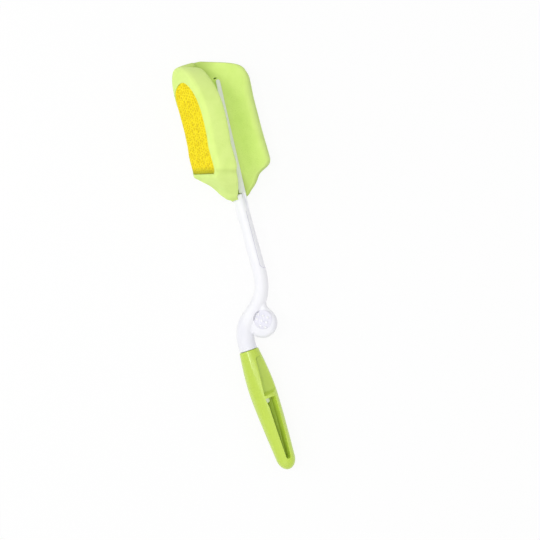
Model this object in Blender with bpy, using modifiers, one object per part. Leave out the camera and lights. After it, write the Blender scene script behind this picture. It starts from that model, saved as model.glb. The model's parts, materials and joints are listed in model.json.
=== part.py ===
"""Rotating bottle brush: a folded foam head on a cranked rod, with a free-spinning grip.

The brush lies on its sponge and its grip. The rod's upper axis runs along +Y towards
the sponge, the crank drops from it to the grip's axis, and the grip turns about its
own axis on the rod's journal. Units are metres. While the pieces are made, X = 0 is
the rod's axis and Z = 0 the surface that the brush lies on. The last step moves the
whole brush so that its box stands on the origin, centred in X and Y.
"""

import math
from typing import NamedTuple

import bmesh
import bpy
from mathutils import Matrix, Vector

# General
CLEARANCE = 0.0003
RUNNING_CLEARANCE = 0.0001
CUT_PAST = 0.001
COLLECTION_NAME = "rotating_bottle_brush"

# Rod: straight shank, S-bend and lower leg
SHANK_RADIUS = 0.0052
SHANK_TOP_Y = 0.008
SHOULDER_LENGTH = 0.0022
SHOULDER_RADIUS = 0.0041
SHANK_REACH = 0.012
BEND_START_Y = -0.052
BEND_REACH_HIGH = 0.0385
BEND_REACH_LOW = 0.0325
BEND_RADIUS = 0.0054
LEG_RADIUS = 0.0071
MOUTH_COLLAR_RADIUS = 0.0074
MOUTH_X = -0.0254
MOUTH_Y = -0.1132
LEG_STRAIGHT = 0.0015
GRIP_LEAN = math.radians(3.3)

# Grip: turned body with a journal bore, a thumb recess and a deep slot
GRIP_LENGTH = 0.1000
GRIP_MOUTH_RADIUS = 0.0078
GRIP_MOUTH_EDGE = 0.0006
GRIP_BELLY_RADIUS = 0.0109
GRIP_BELLY_AT = 0.036
GRIP_TAIL_RADIUS = 0.0077
GRIP_NOSE_LENGTH = 0.0105
GRIP_SWELL_POWER = 0.95
GRIP_TAPER_POWER = 1.35
JOURNAL_RADIUS = 0.0045
JOURNAL_LENGTH = 0.0370
BULKHEAD_THICKNESS = 0.0023
PIN_RADIUS = 0.0018
PIN_HEAD_RADIUS = 0.0030
PIN_HEAD_LENGTH = 0.0042
PIN_HEAD_EDGE = 0.0003
SLOT_TURN = math.radians(18.0)
SLOT_LENGTH = 0.0515
SLOT_TOP_HALF_WIDTH = 0.0039
SLOT_END_HALF_WIDTH = 0.0019
SLOT_TAPER_POWER = 1.6
SLOT_FLOOR_BELOW_AXIS = 0.0036
RECESS_START = 0.0064
RECESS_TOP_HALF_WIDTH = 0.0026
RECESS_END_HALF_WIDTH = 0.0050
RECESS_BREAKOUT = 0.0110
RECESS_FLARE_LENGTH = 0.022
RECESS_FLOOR_ABOVE_AXIS = 0.0068
OUTLINE_LEAN = math.radians(1.85)
OUTLINE_SHIFT = 0.0035

# Knob in the crook of the crank, with an inset dotted pad on each face
KNOB_RADIUS = 0.0120
KNOB_THICKNESS = 0.0084
KNOB_EDGE = 0.0032
KNOB_FROM_LEG = 0.0186
KNOB_ABOVE_MOUTH = 0.0176
WEB_THICKNESS = 0.0080
WEB_EDGE = 0.0034
WEB_TOP_Y = -0.068
WEB_TOP_X = -0.0004
WEB_WAIST_X = -0.0026
WEB_WAIST_Y = -0.0832
PAD_RADIUS = 0.0076
PAD_THICKNESS = 0.0018
PAD_PROUD = 0.0007
PAD_EDGE = 0.0005
SEAT_CUT = 0.0020
PAD_SHIFT_X = 0.0027
PAD_SHIFT_Y = 0.0024
DOT_RADIUS = 0.0011
DOT_PITCH = 0.0041
DOT_TURN = math.radians(-35)
DOT_SHIFT_X = -0.0004
DOT_SHIFT_Y = -0.0011
DOT_FIELD_RADIUS = 0.0066

# Spike of the rod, hidden in the sponge's fold
SPIKE_CENTRE_X = -0.0021
SPIKE_ROOT_WIDTH = 0.0042
SPIKE_TIP_WIDTH = 0.0026
SPIKE_TIP_Y = 0.090
SPIKE_ROOT_SINK = 0.002
PRONG_THICKNESS = 0.0034
PRONG_EDGE = 0.0006

# Clip: a strip let into the shank's side, which runs on as the visible prong
STRIP_END_Y = -0.0525
STRIP_END_X = 0.0019
STRIP_TOP_X = 0.0029
STRIP_END_ROUND = 0.0032
CLIP_STEP_Y = -0.006
CLIP_STEP_X = 0.0055
CLIP_STEP_LENGTH = 0.0030
CLIP_LEAN = math.radians(2.66)
CLIP_ROOT_WIDTH = 0.0050
CLIP_TIP_WIDTH = 0.0032
CLIP_TIP_Y = 0.102
PRONG_SHOULDER = 0.0012

# Foam head: one sheet folded like an opened book, pinched round the neck
FOAM_THICKNESS = 0.018
FOLD_INNER_RADIUS = 0.002
FLAP_ANGLE = math.radians(63.5)
FLAP_LENGTH = 0.042
FLAP_ARCH_START_Y = 0.073
FLAP_ARCH_HEIGHT = 0.0415
FLAP_ARCH_LEAST = 0.05
FLAP_CUT_LEAN = 0.0016
FOAM_EDGE_ROUND = 0.0026
FOAM_END_ROUND = 0.0022
NECK_END_ROUND = 0.0005
KNEE_FROM_AXIS = 0.0095
KNEE_RADIUS = 0.048
SLAB_TILT = math.radians(14.0)
NECK_WRAP = 0.0049
NECK_LIP = 0.0014
NECK_BITE = 0.0004
NECK_CUT_LENGTH = 0.020
LEAST_REACH = 0.0004
SLIT_LENGTH = 0.0026
SLIT_WIDTH = 0.0013
SLIT_DEPTH = 0.0060
SLIT_ABOVE_TIP = 0.0020

# Scrub pads let into the foam's outer faces
SCRUB_THICKNESS = 0.0030
SCRUB_SINK = 0.0005
SCRUB_TOP_Y = 0.102
SCRUB_ARCH_HEIGHT = 0.030
SCRUB_CORNER = 0.006
FRONT_SCRUB_WIDTH = 0.050
FRONT_SCRUB_CENTRE = 0.0110
FRONT_SCRUB_LOW_Y = 0.0296
FRONT_SCRUB_SLANT = 0.19
BACK_SCRUB_WIDTH = 0.044
BACK_SCRUB_CENTRE = 0.0142
BACK_SCRUB_LOW_Y = 0.0314
BACK_SCRUB_SLANT = 0.0

# Counts
TURNED_STEPS = 36
TUBE_ROUNDNESS = 8
TUBE_STEPS = 14
SLOT_STEPS = 6
ROW_SPACING = 0.0060

ROD_Z = FOAM_THICKNESS + FOLD_INNER_RADIUS
GRIP_Z = GRIP_BELLY_RADIUS
BORE_RADIUS = JOURNAL_RADIUS + RUNNING_CLEARANCE
PIN_BORE_RADIUS = PIN_RADIUS + RUNNING_CLEARANCE
BULKHEAD_AT = JOURNAL_LENGTH + CLEARANCE
SLOT_START = BULKHEAD_AT + BULKHEAD_THICKNESS


class Station(NamedTuple):
    """One place along the foam head where its fold is set."""

    y: float
    left: float
    right: float
    thickness: float
    inner: float
    angle: float
    flap: float
    tilt: float


class Section(NamedTuple):
    """The folded sheet's cross-section at one y."""

    y: float
    centre_x: float
    inner: float
    thickness: float
    angle: float
    flap: float
    back: float
    tilt: float


class PadShape(NamedTuple):
    """A scrub pad's outline on the foam's outer face."""

    width: float
    centre: float
    low_y: float
    slant: float


def foam_stations():
    """The head from the neck up: pinched neck, tongue, shoulders, body and arched top."""
    neck_bore = SHANK_RADIUS + CLEARANCE
    neck_inner = neck_bore - NECK_BITE
    full = FOAM_THICKNESS
    fold = FOLD_INNER_RADIUS
    flap = FLAP_LENGTH
    lean = FLAP_ANGLE
    tilt = SLAB_TILT
    return [
        Station(0.0030, -neck_bore - NECK_LIP, 0.0020, NECK_LIP + NECK_BITE, neck_inner,
                math.radians(30), 0.05 * flap, 0.0),
        Station(0.0046, -neck_bore - 0.5 * NECK_WRAP, 0.0055, 0.5 * NECK_WRAP + NECK_BITE,
                neck_inner, math.radians(30), 0.05 * flap, 0.0),
        Station(0.0064, -neck_bore - NECK_WRAP, 0.0085, NECK_WRAP + NECK_BITE, neck_inner,
                math.radians(34), 0.08 * flap, 0.0),
        Station(0.0090, -0.0114, 0.0108, 0.40 * full, 0.0048, math.radians(56), 0.22 * flap, 0.0),
        Station(0.0120, -0.0138, 0.0143, 0.58 * full, 0.0042, math.radians(72), 0.40 * flap, 0.0),
        Station(0.0160, -0.0162, 0.0178, 0.74 * full, 0.0035, math.radians(80), 0.60 * flap, 0.0),
        Station(0.0200, -0.0190, 0.0206, 0.88 * full, 0.0029, math.radians(80), 0.78 * flap, 0.0),
        Station(0.0225, -0.0214, 0.0242, 0.94 * full, 0.0025, math.radians(77), 0.87 * flap, 0.1 * tilt),
        Station(0.0245, -0.0237, 0.0286, 0.97 * full, 0.0022, math.radians(72), 0.93 * flap, 0.2 * tilt),
        Station(0.0270, -0.0263, 0.0318, 0.99 * full, fold, math.radians(67), 0.97 * flap, 0.35 * tilt),
        Station(0.0310, -0.0299, 0.0331, full, fold, lean, flap, 0.55 * tilt),
        Station(0.0440, -0.0299, 0.0332, full, fold, lean, flap, 0.80 * tilt),
        Station(0.0550, -0.0287, 0.0333, full, fold, lean, flap, tilt),
        Station(0.0680, -0.0279, 0.0335, full, fold, lean, flap, tilt),
        Station(0.0800, -0.0277, 0.0337, full, fold, lean, flap, 0.95 * tilt),
        Station(0.0960, -0.0276, 0.0345, full, fold, lean, flap, 0.55 * tilt),
        Station(0.1030, -0.0271, 0.0330, full, fold, lean, flap, 0.30 * tilt),
        Station(0.1070, -0.0264, 0.0300, full, fold, lean, flap, 0.20 * tilt),
        Station(0.1100, -0.0257, 0.0250, full, fold, lean, flap, 0.15 * tilt),
        Station(0.1130, -0.0246, 0.0172, full, fold, lean, flap, 0.1 * tilt),
        Station(0.1149, -0.0236, 0.0110, full, fold, math.radians(68), flap, 0.0),
        Station(0.1168, -0.0212, 0.0050, 0.86 * full, fold, math.radians(78), flap, 0.0),
        Station(0.1185, -0.0165, 0.0014, 0.62 * full, fold, math.radians(95), flap, 0.0),
    ]


def blend(start, end, share):
    """The value a share of the way from start to end."""
    return start + (end - start) * share


def flap_length(y, length):
    """The flap's length at y, which falls away in the arch at its top."""
    rise = (y - FLAP_ARCH_START_Y) / FLAP_ARCH_HEIGHT
    if rise <= 0.0:
        return length
    return length * math.sqrt(max(1.0 - rise * rise, FLAP_ARCH_LEAST ** 2))


def leaned_run(y, run, share):
    """A run along the flap at a share of its depth: the arch's cut leans in from the outer face."""
    lean = FLAP_CUT_LEAN * (2.0 * share - 1.0)
    return run * flap_length(y + lean, 1.0) / flap_length(y, 1.0)


def back_length(right, centre_x, tilt):
    """The lower half's length along its outer face, from the fold to the edge at x = right."""
    knee = max(KNEE_FROM_AXIS - centre_x, 0.0)
    reach = right - centre_x
    if reach <= knee:
        return reach
    past = reach - knee
    if tilt <= 0.0 or past <= KNEE_RADIUS * math.sin(tilt):
        if tilt <= 0.0:
            return reach
        return knee + KNEE_RADIUS * math.asin(past / KNEE_RADIUS)
    straight = (past - KNEE_RADIUS * math.sin(tilt)) / math.cos(tilt)
    return knee + KNEE_RADIUS * tilt + straight


def section_at(y):
    """The folded section at y, between the two nearest stations."""
    stations = foam_stations()
    upper = 1
    while upper < len(stations) - 1 and y > stations[upper].y:
        upper += 1
    low, high = stations[upper - 1], stations[upper]
    share = min(max((y - low.y) / (high.y - low.y), 0.0), 1.0)
    mixed = Station(*[blend(a, b, share) for a, b in zip(low, high)])
    centre_x = mixed.left + mixed.inner + mixed.thickness
    back = back_length(mixed.right, centre_x, mixed.tilt)
    return Section(y, centre_x, mixed.inner, mixed.thickness, mixed.angle,
                   flap_length(y, mixed.flap), back, mixed.tilt)


def sheet_point(section, run, depth):
    """A point of the folded sheet.

    run is measured along the outer face: positive up the flap from the fold, negative
    round the fold and on along the lower half. depth goes in from the outer face.
    """
    outer = section.inner + section.thickness
    fold_length = outer * (math.pi - section.angle)
    if run >= 0.0:
        along = Vector((math.cos(section.angle), math.sin(section.angle)))
        out = Vector((-along.y, along.x))
        place = out * (outer - depth) + along * run
    elif run >= -fold_length:
        turn = math.pi / 2 + section.angle - run / outer
        place = Vector((math.cos(turn), math.sin(turn))) * (outer - depth)
    else:
        place = slab_point(section, -run - fold_length, depth, outer)
    return Vector((section.centre_x + place.x, section.y, ROD_Z + place.y))


def slab_point(section, run, depth, outer):
    """A point of the lower half, from the fold's centre, which is flat and then curls up."""
    knee = max(KNEE_FROM_AXIS - section.centre_x, 0.0)
    if run <= knee or section.tilt <= 0.0:
        return Vector((run, depth - outer))
    turn = min((run - knee) / KNEE_RADIUS, section.tilt)
    radius = KNEE_RADIUS - depth
    place = Vector((knee + radius * math.sin(turn), KNEE_RADIUS - outer - radius * math.cos(turn)))
    straight = run - knee - KNEE_RADIUS * turn
    return place + Vector((math.cos(turn), math.sin(turn))) * straight


def end_round(reach, low_depth, high_depth, radius):
    """Run and depth pairs round the sheet's cut edge, from the outer face to the inner."""
    radius = min(radius, 0.45 * (high_depth - low_depth), 0.9 * max(reach, LEAST_REACH))
    pairs = []
    for turn in (90.0, 45.0, 0.0):
        angle = math.radians(turn)
        pairs.append((reach - radius * (1.0 - math.cos(angle)),
                      low_depth + radius * (1.0 - math.sin(angle))))
    mirrored = [(run, low_depth + high_depth - depth) for run, depth in reversed(pairs)]
    return pairs + mirrored


def section_ring(y, inset):
    """The closed outline of the folded sheet at y, drawn in all round by inset."""
    section = section_at(y)
    fold_length = (section.inner + section.thickness) * (math.pi - section.angle)
    low, high = inset, section.thickness - inset
    flap_end = max(section.flap - inset, LEAST_REACH)
    back_end = max(section.back - inset, LEAST_REACH)
    ring = [sheet_point(section, leaned_run(y, run, depth / section.thickness), depth)
            for run, depth in end_round(flap_end, low, high, FOAM_EDGE_ROUND)]
    flap_inside = flap_end - min(FOAM_EDGE_ROUND, 0.45 * (high - low), 0.9 * flap_end)
    back_inside = back_end - min(FOAM_EDGE_ROUND, 0.45 * (high - low), 0.9 * back_end)
    flap_runs = [flap_inside * share for share in (0.75, 0.5, 0.25)]
    runs = [-fold_length * share / 8 for share in range(9)]
    runs += [-fold_length - back_inside * share / 8 for share in range(1, 8)]
    ring += [sheet_point(section, leaned_run(y, run, 1.0), high) for run in flap_runs]
    ring += [sheet_point(section, run, high) for run in runs]
    edge = end_round(back_end, low, high, FOAM_EDGE_ROUND)
    ring += [sheet_point(section, -fold_length - run, depth) for run, depth in reversed(edge)]
    ring += [sheet_point(section, run, low) for run in reversed(runs)]
    ring += [sheet_point(section, leaned_run(y, run, 0.0), low) for run in reversed(flap_runs)]
    return ring


def foam_rows():
    """The y and the inset of each ring of the foam head, closer where it turns fastest."""
    low, high = foam_stations()[0].y, foam_stations()[-1].y
    ease = NECK_END_ROUND
    rows = [(low, ease), (low + 0.3 * ease, 0.3 * ease), (low + ease, 0.0)]
    stations = foam_stations()
    for station, following in zip(stations[1:-1], stations[2:]):
        rows.append((station.y, 0.0))
        gap = following.y - station.y
        steps = max(round(gap / ROW_SPACING), 1)
        rows += [(station.y + gap * step / steps, 0.0) for step in range(1, steps)]
    ease = FOAM_END_ROUND
    rows = [row for row in rows if row[0] < high - 1.2 * ease]
    rows += [(high - ease, 0.0), (high - 0.3 * ease, 0.3 * ease), (high, ease)]
    return rows


def new_material(name, colour, roughness, metallic=0.0):
    """A plain finish for one piece."""
    material = bpy.data.materials.new(name)
    material.use_nodes = True
    shader = material.node_tree.nodes["Principled BSDF"]
    shader.inputs["Base Color"].default_value = (*colour, 1.0)
    shader.inputs["Roughness"].default_value = roughness
    shader.inputs["Metallic"].default_value = metallic
    return material


def add_object(name, data, collection):
    """A new object of this data in the collection."""
    made = bpy.data.objects.new(name, data)
    collection.objects.link(made)
    return made


def mesh_object(name, builder, collection):
    """A new mesh object from a bmesh with outward faces."""
    bmesh.ops.recalc_face_normals(builder, faces=builder.faces)
    mesh = bpy.data.meshes.new(name)
    builder.to_mesh(mesh)
    builder.free()
    return add_object(name, mesh, collection)


def loft(name, rings, collection):
    """A closed body through rings of as many points each."""
    builder = bmesh.new()
    rows = [[builder.verts.new(point) for point in ring] for ring in rings]
    count = len(rings[0])
    for low, high in zip(rows, rows[1:]):
        for index in range(count):
            after = (index + 1) % count
            builder.faces.new((low[index], low[after], high[after], high[index]))
    builder.faces.new(list(reversed(rows[0])))
    builder.faces.new(rows[-1])
    return mesh_object(name, builder, collection)


def turned(name, profile, collection):
    """A turned body from a profile of (radius, height) points, top to bottom, about Z."""
    builder = bmesh.new()
    points = [builder.verts.new((radius, 0.0, height)) for radius, height in profile]
    for upper, lower in zip(points, points[1:]):
        builder.edges.new((upper, lower))
    mesh = bpy.data.meshes.new(name)
    builder.to_mesh(mesh)
    builder.free()
    made = add_object(name, mesh, collection)
    screw = made.modifiers.new("turn", "SCREW")
    screw.steps = TURNED_STEPS
    screw.render_steps = TURNED_STEPS
    screw.use_merge_vertices = True
    screw.merge_threshold = 0.00001
    return frozen(made, collection)


def frozen(source, collection):
    """The object's evaluated shape as a plain mesh object with welded caps, in its place."""
    bpy.context.view_layer.update()
    graph = bpy.context.evaluated_depsgraph_get()
    mesh = bpy.data.meshes.new_from_object(source.evaluated_get(graph))
    builder = bmesh.new()
    builder.from_mesh(mesh)
    bmesh.ops.remove_doubles(builder, verts=builder.verts, dist=0.000002)
    builder.to_mesh(mesh)
    builder.free()
    name = source.name
    matrix = source.matrix_world.copy()
    bpy.data.objects.remove(source)
    made = add_object(name, mesh, collection)
    made.matrix_world = matrix
    return made


def prism(name, outline, low, high, collection):
    """A flat outline in X and Y, filled and extruded from low to high."""
    curve = bpy.data.curves.new(name, "CURVE")
    curve.dimensions = "2D"
    curve.fill_mode = "BOTH"
    curve.extrude = 0.5 * (high - low)
    spline = curve.splines.new("POLY")
    spline.points.add(len(outline) - 1)
    for point, place in zip(spline.points, outline):
        point.co = (place[0], place[1], 0.0, 1.0)
    spline.use_cyclic_u = True
    made = add_object(name, curve, collection)
    made.location.z = 0.5 * (low + high)
    return frozen(made, collection)


def bevelled(target, width, segments, collection):
    """The object with its sharp edges rounded."""
    bevel = target.modifiers.new("rounded_edges", "BEVEL")
    bevel.width = width
    bevel.segments = segments
    bevel.limit_method = "ANGLE"
    bevel.angle_limit = math.radians(40)
    return frozen(target, collection)


def combined(target, tool, operation, collection):
    """The target joined with, or cut by, the tool, which is used up."""
    boolean = target.modifiers.new("combine", "BOOLEAN")
    boolean.operation = operation
    boolean.solver = "EXACT"
    boolean.object = tool
    result = frozen(target, collection)
    bpy.data.objects.remove(tool)
    return result


def arc(centre, radius, start, end, steps):
    """Points on an arc in X and Y, with its angles in degrees."""
    points = []
    for step in range(steps + 1):
        angle = math.radians(blend(start, end, step / steps))
        points.append((centre[0] + radius * math.cos(angle), centre[1] + radius * math.sin(angle)))
    return points


def grip_matrix():
    """The grip's own frame: origin at its mouth, Z up its axis, -Y towards the viewer above."""
    up = Vector((-math.sin(GRIP_LEAN), math.cos(GRIP_LEAN), 0.0))
    across = Vector((math.cos(GRIP_LEAN), math.sin(GRIP_LEAN), 0.0))
    down = Vector((0.0, 0.0, -1.0))
    matrix = Matrix((across, down, up)).transposed().to_4x4()
    matrix.translation = Vector((MOUTH_X, MOUTH_Y, GRIP_Z))
    return matrix


def knob_matrix():
    """The knob's own frame: origin at its centre, Z square to the crank's plane."""
    offset = Vector((-MOUTH_X, 0.0, ROD_Z - GRIP_Z)).normalized()
    normal = offset.cross(Vector((0.0, 1.0, 0.0)))
    along = grip_matrix().col[2].to_3d()
    along = (along - normal * along.dot(normal)).normalized()
    matrix = Matrix((along.cross(normal), along, normal)).transposed().to_4x4()
    leg = Vector((MOUTH_X, MOUTH_Y, GRIP_Z))
    matrix.translation = leg + along * KNOB_ABOVE_MOUTH + matrix.col[0].to_3d() * KNOB_FROM_LEG
    return matrix


def slot_matrix():
    """In the grip's frame: X across the slot, Y down the grip from its mouth, Z out of it."""
    out = Vector((math.sin(SLOT_TURN), -math.cos(SLOT_TURN), 0.0))
    down = Vector((0.0, 0.0, -1.0))
    across = down.cross(out)
    return Matrix((across, down, out)).transposed().to_4x4()


def lean_outline(outline):
    """The outline with the recess's and slot's shared lean and shift applied."""
    slope = math.tan(OUTLINE_LEAN)
    return [(slope * y - OUTLINE_SHIFT - x, y) for x, y in outline]


def slot_outline():
    """The slot's outline: square top, tapering bowed sides and a round end."""
    end = SLOT_START + SLOT_LENGTH - SLOT_END_HALF_WIDTH
    side = []
    for step in range(SLOT_STEPS):
        share = step / SLOT_STEPS
        side.append((blend(SLOT_TOP_HALF_WIDTH, SLOT_END_HALF_WIDTH, share ** SLOT_TAPER_POWER),
                     blend(SLOT_START, end, share)))
    outline = side + arc((0.0, end), SLOT_END_HALF_WIDTH, 0, 180, 8)
    outline += [(-x, y) for x, y in reversed(side)]
    return lean_outline(outline)


def recess_outline():
    """The recess's outline: round top that widens to the bulkhead and runs out at one side."""
    centre = (0.0, RECESS_START + RECESS_TOP_HALF_WIDTH)
    end = SLOT_START - 0.35 * BULKHEAD_THICKNESS
    outline = arc(centre, RECESS_TOP_HALF_WIDTH, 180, 360, 10)
    outline += [(RECESS_BREAKOUT, centre[1] + RECESS_FLARE_LENGTH), (RECESS_BREAKOUT, end),
                (-RECESS_END_HALF_WIDTH, end)]
    return lean_outline(outline)


def grip_profile():
    """The grip's turned outline from its mouth to its round nose, as radius and height."""
    tail = GRIP_LENGTH - GRIP_NOSE_LENGTH
    profile = [(0.0, 0.0), (GRIP_MOUTH_RADIUS - GRIP_MOUTH_EDGE, 0.0),
               (GRIP_MOUTH_RADIUS, -GRIP_MOUTH_EDGE)]
    for step in range(1, 9):
        share = step / 8
        swell = math.sin(0.5 * math.pi * share) ** GRIP_SWELL_POWER
        profile.append((blend(GRIP_MOUTH_RADIUS, GRIP_BELLY_RADIUS, swell), -GRIP_BELLY_AT * share))
    for step in range(1, 8):
        share = step / 7
        profile.append((blend(GRIP_BELLY_RADIUS, GRIP_TAIL_RADIUS, share ** GRIP_TAPER_POWER),
                        blend(-GRIP_BELLY_AT, -tail, share)))
    for step in range(1, 8):
        angle = 0.5 * math.pi * step / 7
        profile.append((GRIP_TAIL_RADIUS * math.cos(angle),
                        -tail - GRIP_NOSE_LENGTH * math.sin(angle)))
    profile[-1] = (0.0, -GRIP_LENGTH)
    return profile


def make_grip(collection):
    """The moulded grip: turned body, stepped bore, thumb recess and deep slot."""
    grip = turned("handle_grip", grip_profile(), collection)
    relief = PIN_HEAD_RADIUS + CLEARANCE
    relief_end = pin_tip() + CLEARANCE
    bore = turned("bore_cutter", [
        (0.0, CUT_PAST), (BORE_RADIUS, CUT_PAST), (BORE_RADIUS, -BULKHEAD_AT),
        (PIN_BORE_RADIUS, -BULKHEAD_AT), (PIN_BORE_RADIUS, -SLOT_START), (relief, -SLOT_START),
        (relief, -relief_end), (0.0, -relief_end),
    ], collection)
    grip = combined(grip, bore, "DIFFERENCE", collection)
    reach = 2.0 * GRIP_BELLY_RADIUS
    slot = prism("slot_cutter", slot_outline(), -SLOT_FLOOR_BELOW_AXIS, reach, collection)
    slot.matrix_world = slot_matrix() @ slot.matrix_world
    grip = combined(grip, slot, "DIFFERENCE", collection)
    recess = prism("recess_cutter", recess_outline(), RECESS_FLOOR_ABOVE_AXIS, reach, collection)
    recess.matrix_world = slot_matrix() @ recess.matrix_world
    return combined(grip, recess, "DIFFERENCE", collection)


def pin_neck():
    """How far the snap pin's head starts from the grip's mouth."""
    return JOURNAL_LENGTH + BULKHEAD_THICKNESS + 3.0 * CLEARANCE


def pin_tip():
    """How far the snap pin's head ends from the grip's mouth."""
    return pin_neck() + PIN_HEAD_LENGTH


def make_journal(collection):
    """The rod's journal with its snap pin, in the grip's frame."""
    root, neck, tip = LEG_STRAIGHT, pin_neck(), pin_tip()
    return turned("journal", [
        (0.0, root), (JOURNAL_RADIUS, root), (JOURNAL_RADIUS, -JOURNAL_LENGTH),
        (PIN_RADIUS, -JOURNAL_LENGTH), (PIN_RADIUS, -neck),
        (PIN_HEAD_RADIUS, -neck - PIN_HEAD_EDGE),
        (PIN_HEAD_RADIUS, -neck - 0.4 * PIN_HEAD_LENGTH), (0.62 * PIN_HEAD_RADIUS, -tip), (0.0, -tip),
    ], collection)


def make_tube(name, grow, collection):
    """The rod's bent tube from its shoulder under the sponge to the collar at the grip."""
    up = grip_matrix().col[2].to_3d()
    mouth = Vector((MOUTH_X, MOUTH_Y, GRIP_Z))
    shank_down = Vector((0.0, -1.0, 0.0))
    top = Vector((0.0, SHANK_TOP_Y, ROD_Z))
    bend = Vector((0.0, BEND_START_Y, ROD_Z))
    knots = [
        (top, SHOULDER_LENGTH / 3, SHOULDER_LENGTH / 3, SHOULDER_RADIUS, shank_down),
        (top + shank_down * SHOULDER_LENGTH, SHOULDER_LENGTH / 3, SHANK_REACH, SHANK_RADIUS,
         shank_down),
        (bend, SHANK_REACH, BEND_REACH_HIGH, BEND_RADIUS, shank_down),
        (mouth + up * LEG_STRAIGHT, BEND_REACH_LOW, LEG_STRAIGHT / 3, LEG_RADIUS, -up),
        (mouth + up * CLEARANCE, LEG_STRAIGHT / 3, LEG_STRAIGHT / 3, MOUTH_COLLAR_RADIUS, -up),
    ]
    curve = bpy.data.curves.new(name, "CURVE")
    curve.dimensions = "3D"
    curve.bevel_depth = 1.0
    curve.bevel_resolution = TUBE_ROUNDNESS
    curve.resolution_u = TUBE_STEPS
    curve.use_fill_caps = True
    spline = curve.splines.new("BEZIER")
    spline.bezier_points.add(len(knots) - 1)
    spline.radius_interpolation = "EASE"
    for point, (place, before, after, radius, along) in zip(spline.bezier_points, knots):
        point.co = place
        point.handle_left_type = "FREE"
        point.handle_right_type = "FREE"
        point.handle_left = place - along * before
        point.handle_right = place + along * after
        point.radius = radius + grow
    return frozen(add_object(name, curve, collection), collection)


def pad_matrix(side):
    """A thumb pad's frame on one of the knob's faces, Z out of the face."""
    turn = Matrix.Rotation(0.0 if side > 0 else math.pi, 4, "Y")
    return knob_matrix() @ Matrix.Translation((PAD_SHIFT_X, PAD_SHIFT_Y, 0.0)) @ turn


def make_knob(collection):
    """The knob's disc on its web, with a round seat for a pad in each face."""
    half = 0.5 * KNOB_THICKNESS
    profile = [(0.0, half)]
    profile += arc((KNOB_RADIUS - KNOB_EDGE, half - KNOB_EDGE), KNOB_EDGE, 90, 0, 5)
    profile += arc((KNOB_RADIUS - KNOB_EDGE, KNOB_EDGE - half), KNOB_EDGE, 0, -90, 5)
    profile.append((0.0, -half))
    knob = turned("knob", profile, collection)
    knob.matrix_world = knob_matrix()
    knob = combined(knob, make_web(collection), "UNION", collection)
    floor = half + PAD_PROUD - PAD_THICKNESS - CLEARANCE
    for side in (1, -1):
        seat = turned("seat_cutter", [
            (0.0, half + SEAT_CUT), (PAD_RADIUS + CLEARANCE, half + SEAT_CUT),
            (PAD_RADIUS + CLEARANCE, floor), (0.0, floor),
        ], collection)
        seat.matrix_world = pad_matrix(side)
        knob = combined(knob, seat, "DIFFERENCE", collection)
    return knob


def make_web(collection):
    """The web that fills the crook between the bend, the knob and the leg."""
    centre = knob_matrix().translation
    squash = Vector((-MOUTH_X, 0.0, ROD_Z - GRIP_Z)).length / -MOUTH_X
    leg_side = MOUTH_X + 0.5 * LEG_RADIUS
    outline = [(-SHANK_RADIUS, WEB_TOP_Y), (WEB_TOP_X, WEB_TOP_Y), (WEB_WAIST_X, WEB_WAIST_Y),
               (centre.x + 0.76 * KNOB_RADIUS, centre.y + 0.62 * KNOB_RADIUS),
               (centre.x, centre.y - 0.3 * KNOB_RADIUS), (leg_side, centre.y),
               (leg_side, 0.5 * (WEB_WAIST_Y + centre.y))]
    half = 0.5 * WEB_THICKNESS
    web = prism("web", [(x * squash, y) for x, y in outline], -half, half, collection)
    web = bevelled(web, WEB_EDGE, 3, collection)
    turn = Matrix.Rotation(-math.atan2(ROD_Z - GRIP_Z, -MOUTH_X), 4, "Y")
    web.matrix_world = Matrix.Translation((0.0, 0.0, ROD_Z)) @ turn @ web.matrix_world
    return web


def make_thumb_pad(name, side, collection):
    """A soft round pad with raised dots, for the knob's face on this side."""
    base = 0.5 * KNOB_THICKNESS + PAD_PROUD - PAD_THICKNESS
    top = base + PAD_THICKNESS
    profile = [(0.0, top)]
    profile += arc((PAD_RADIUS - PAD_EDGE, top - PAD_EDGE), PAD_EDGE, 90, 0, 2)
    profile += [(PAD_RADIUS, base), (0.0, base)]
    pad = turned(name, profile, collection)
    reach = int(DOT_FIELD_RADIUS / DOT_PITCH) + 1
    places = [Vector((DOT_SHIFT_X + DOT_PITCH * column, DOT_SHIFT_Y + DOT_PITCH * row))
              for row in range(-reach, reach + 1) for column in range(-reach, reach + 1)]
    builder = bmesh.new()
    for place in places:
        if place.length < DOT_FIELD_RADIUS:
            place.rotate(Matrix.Rotation(DOT_TURN, 2))
            spot = Matrix.Translation((place.x, place.y, top - 0.2 * DOT_RADIUS))
            bmesh.ops.create_uvsphere(builder, u_segments=10, v_segments=6, radius=DOT_RADIUS,
                                      matrix=spot)
    dots = mesh_object("dots", builder, collection)
    pad = combined(pad, dots, "UNION", collection)
    pad.matrix_world = pad_matrix(side)
    tube = make_tube("tube_cutter", CLEARANCE, collection)
    return combined(pad, tube, "DIFFERENCE", collection)


def spike_outline(grow):
    """The hidden spike's tapering outline with a round tip."""
    root, tip = 0.5 * SPIKE_ROOT_WIDTH + grow, 0.5 * SPIKE_TIP_WIDTH + grow
    foot = SHANK_TOP_Y - 0.5 * SHOULDER_LENGTH - SPIKE_ROOT_SINK - grow
    outline = [(SPIKE_CENTRE_X - root, foot), (SPIKE_CENTRE_X + root, foot)]
    outline += arc((SPIKE_CENTRE_X, SPIKE_TIP_Y - 0.5 * SPIKE_TIP_WIDTH), tip, 0, 180, 8)
    return outline


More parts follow.
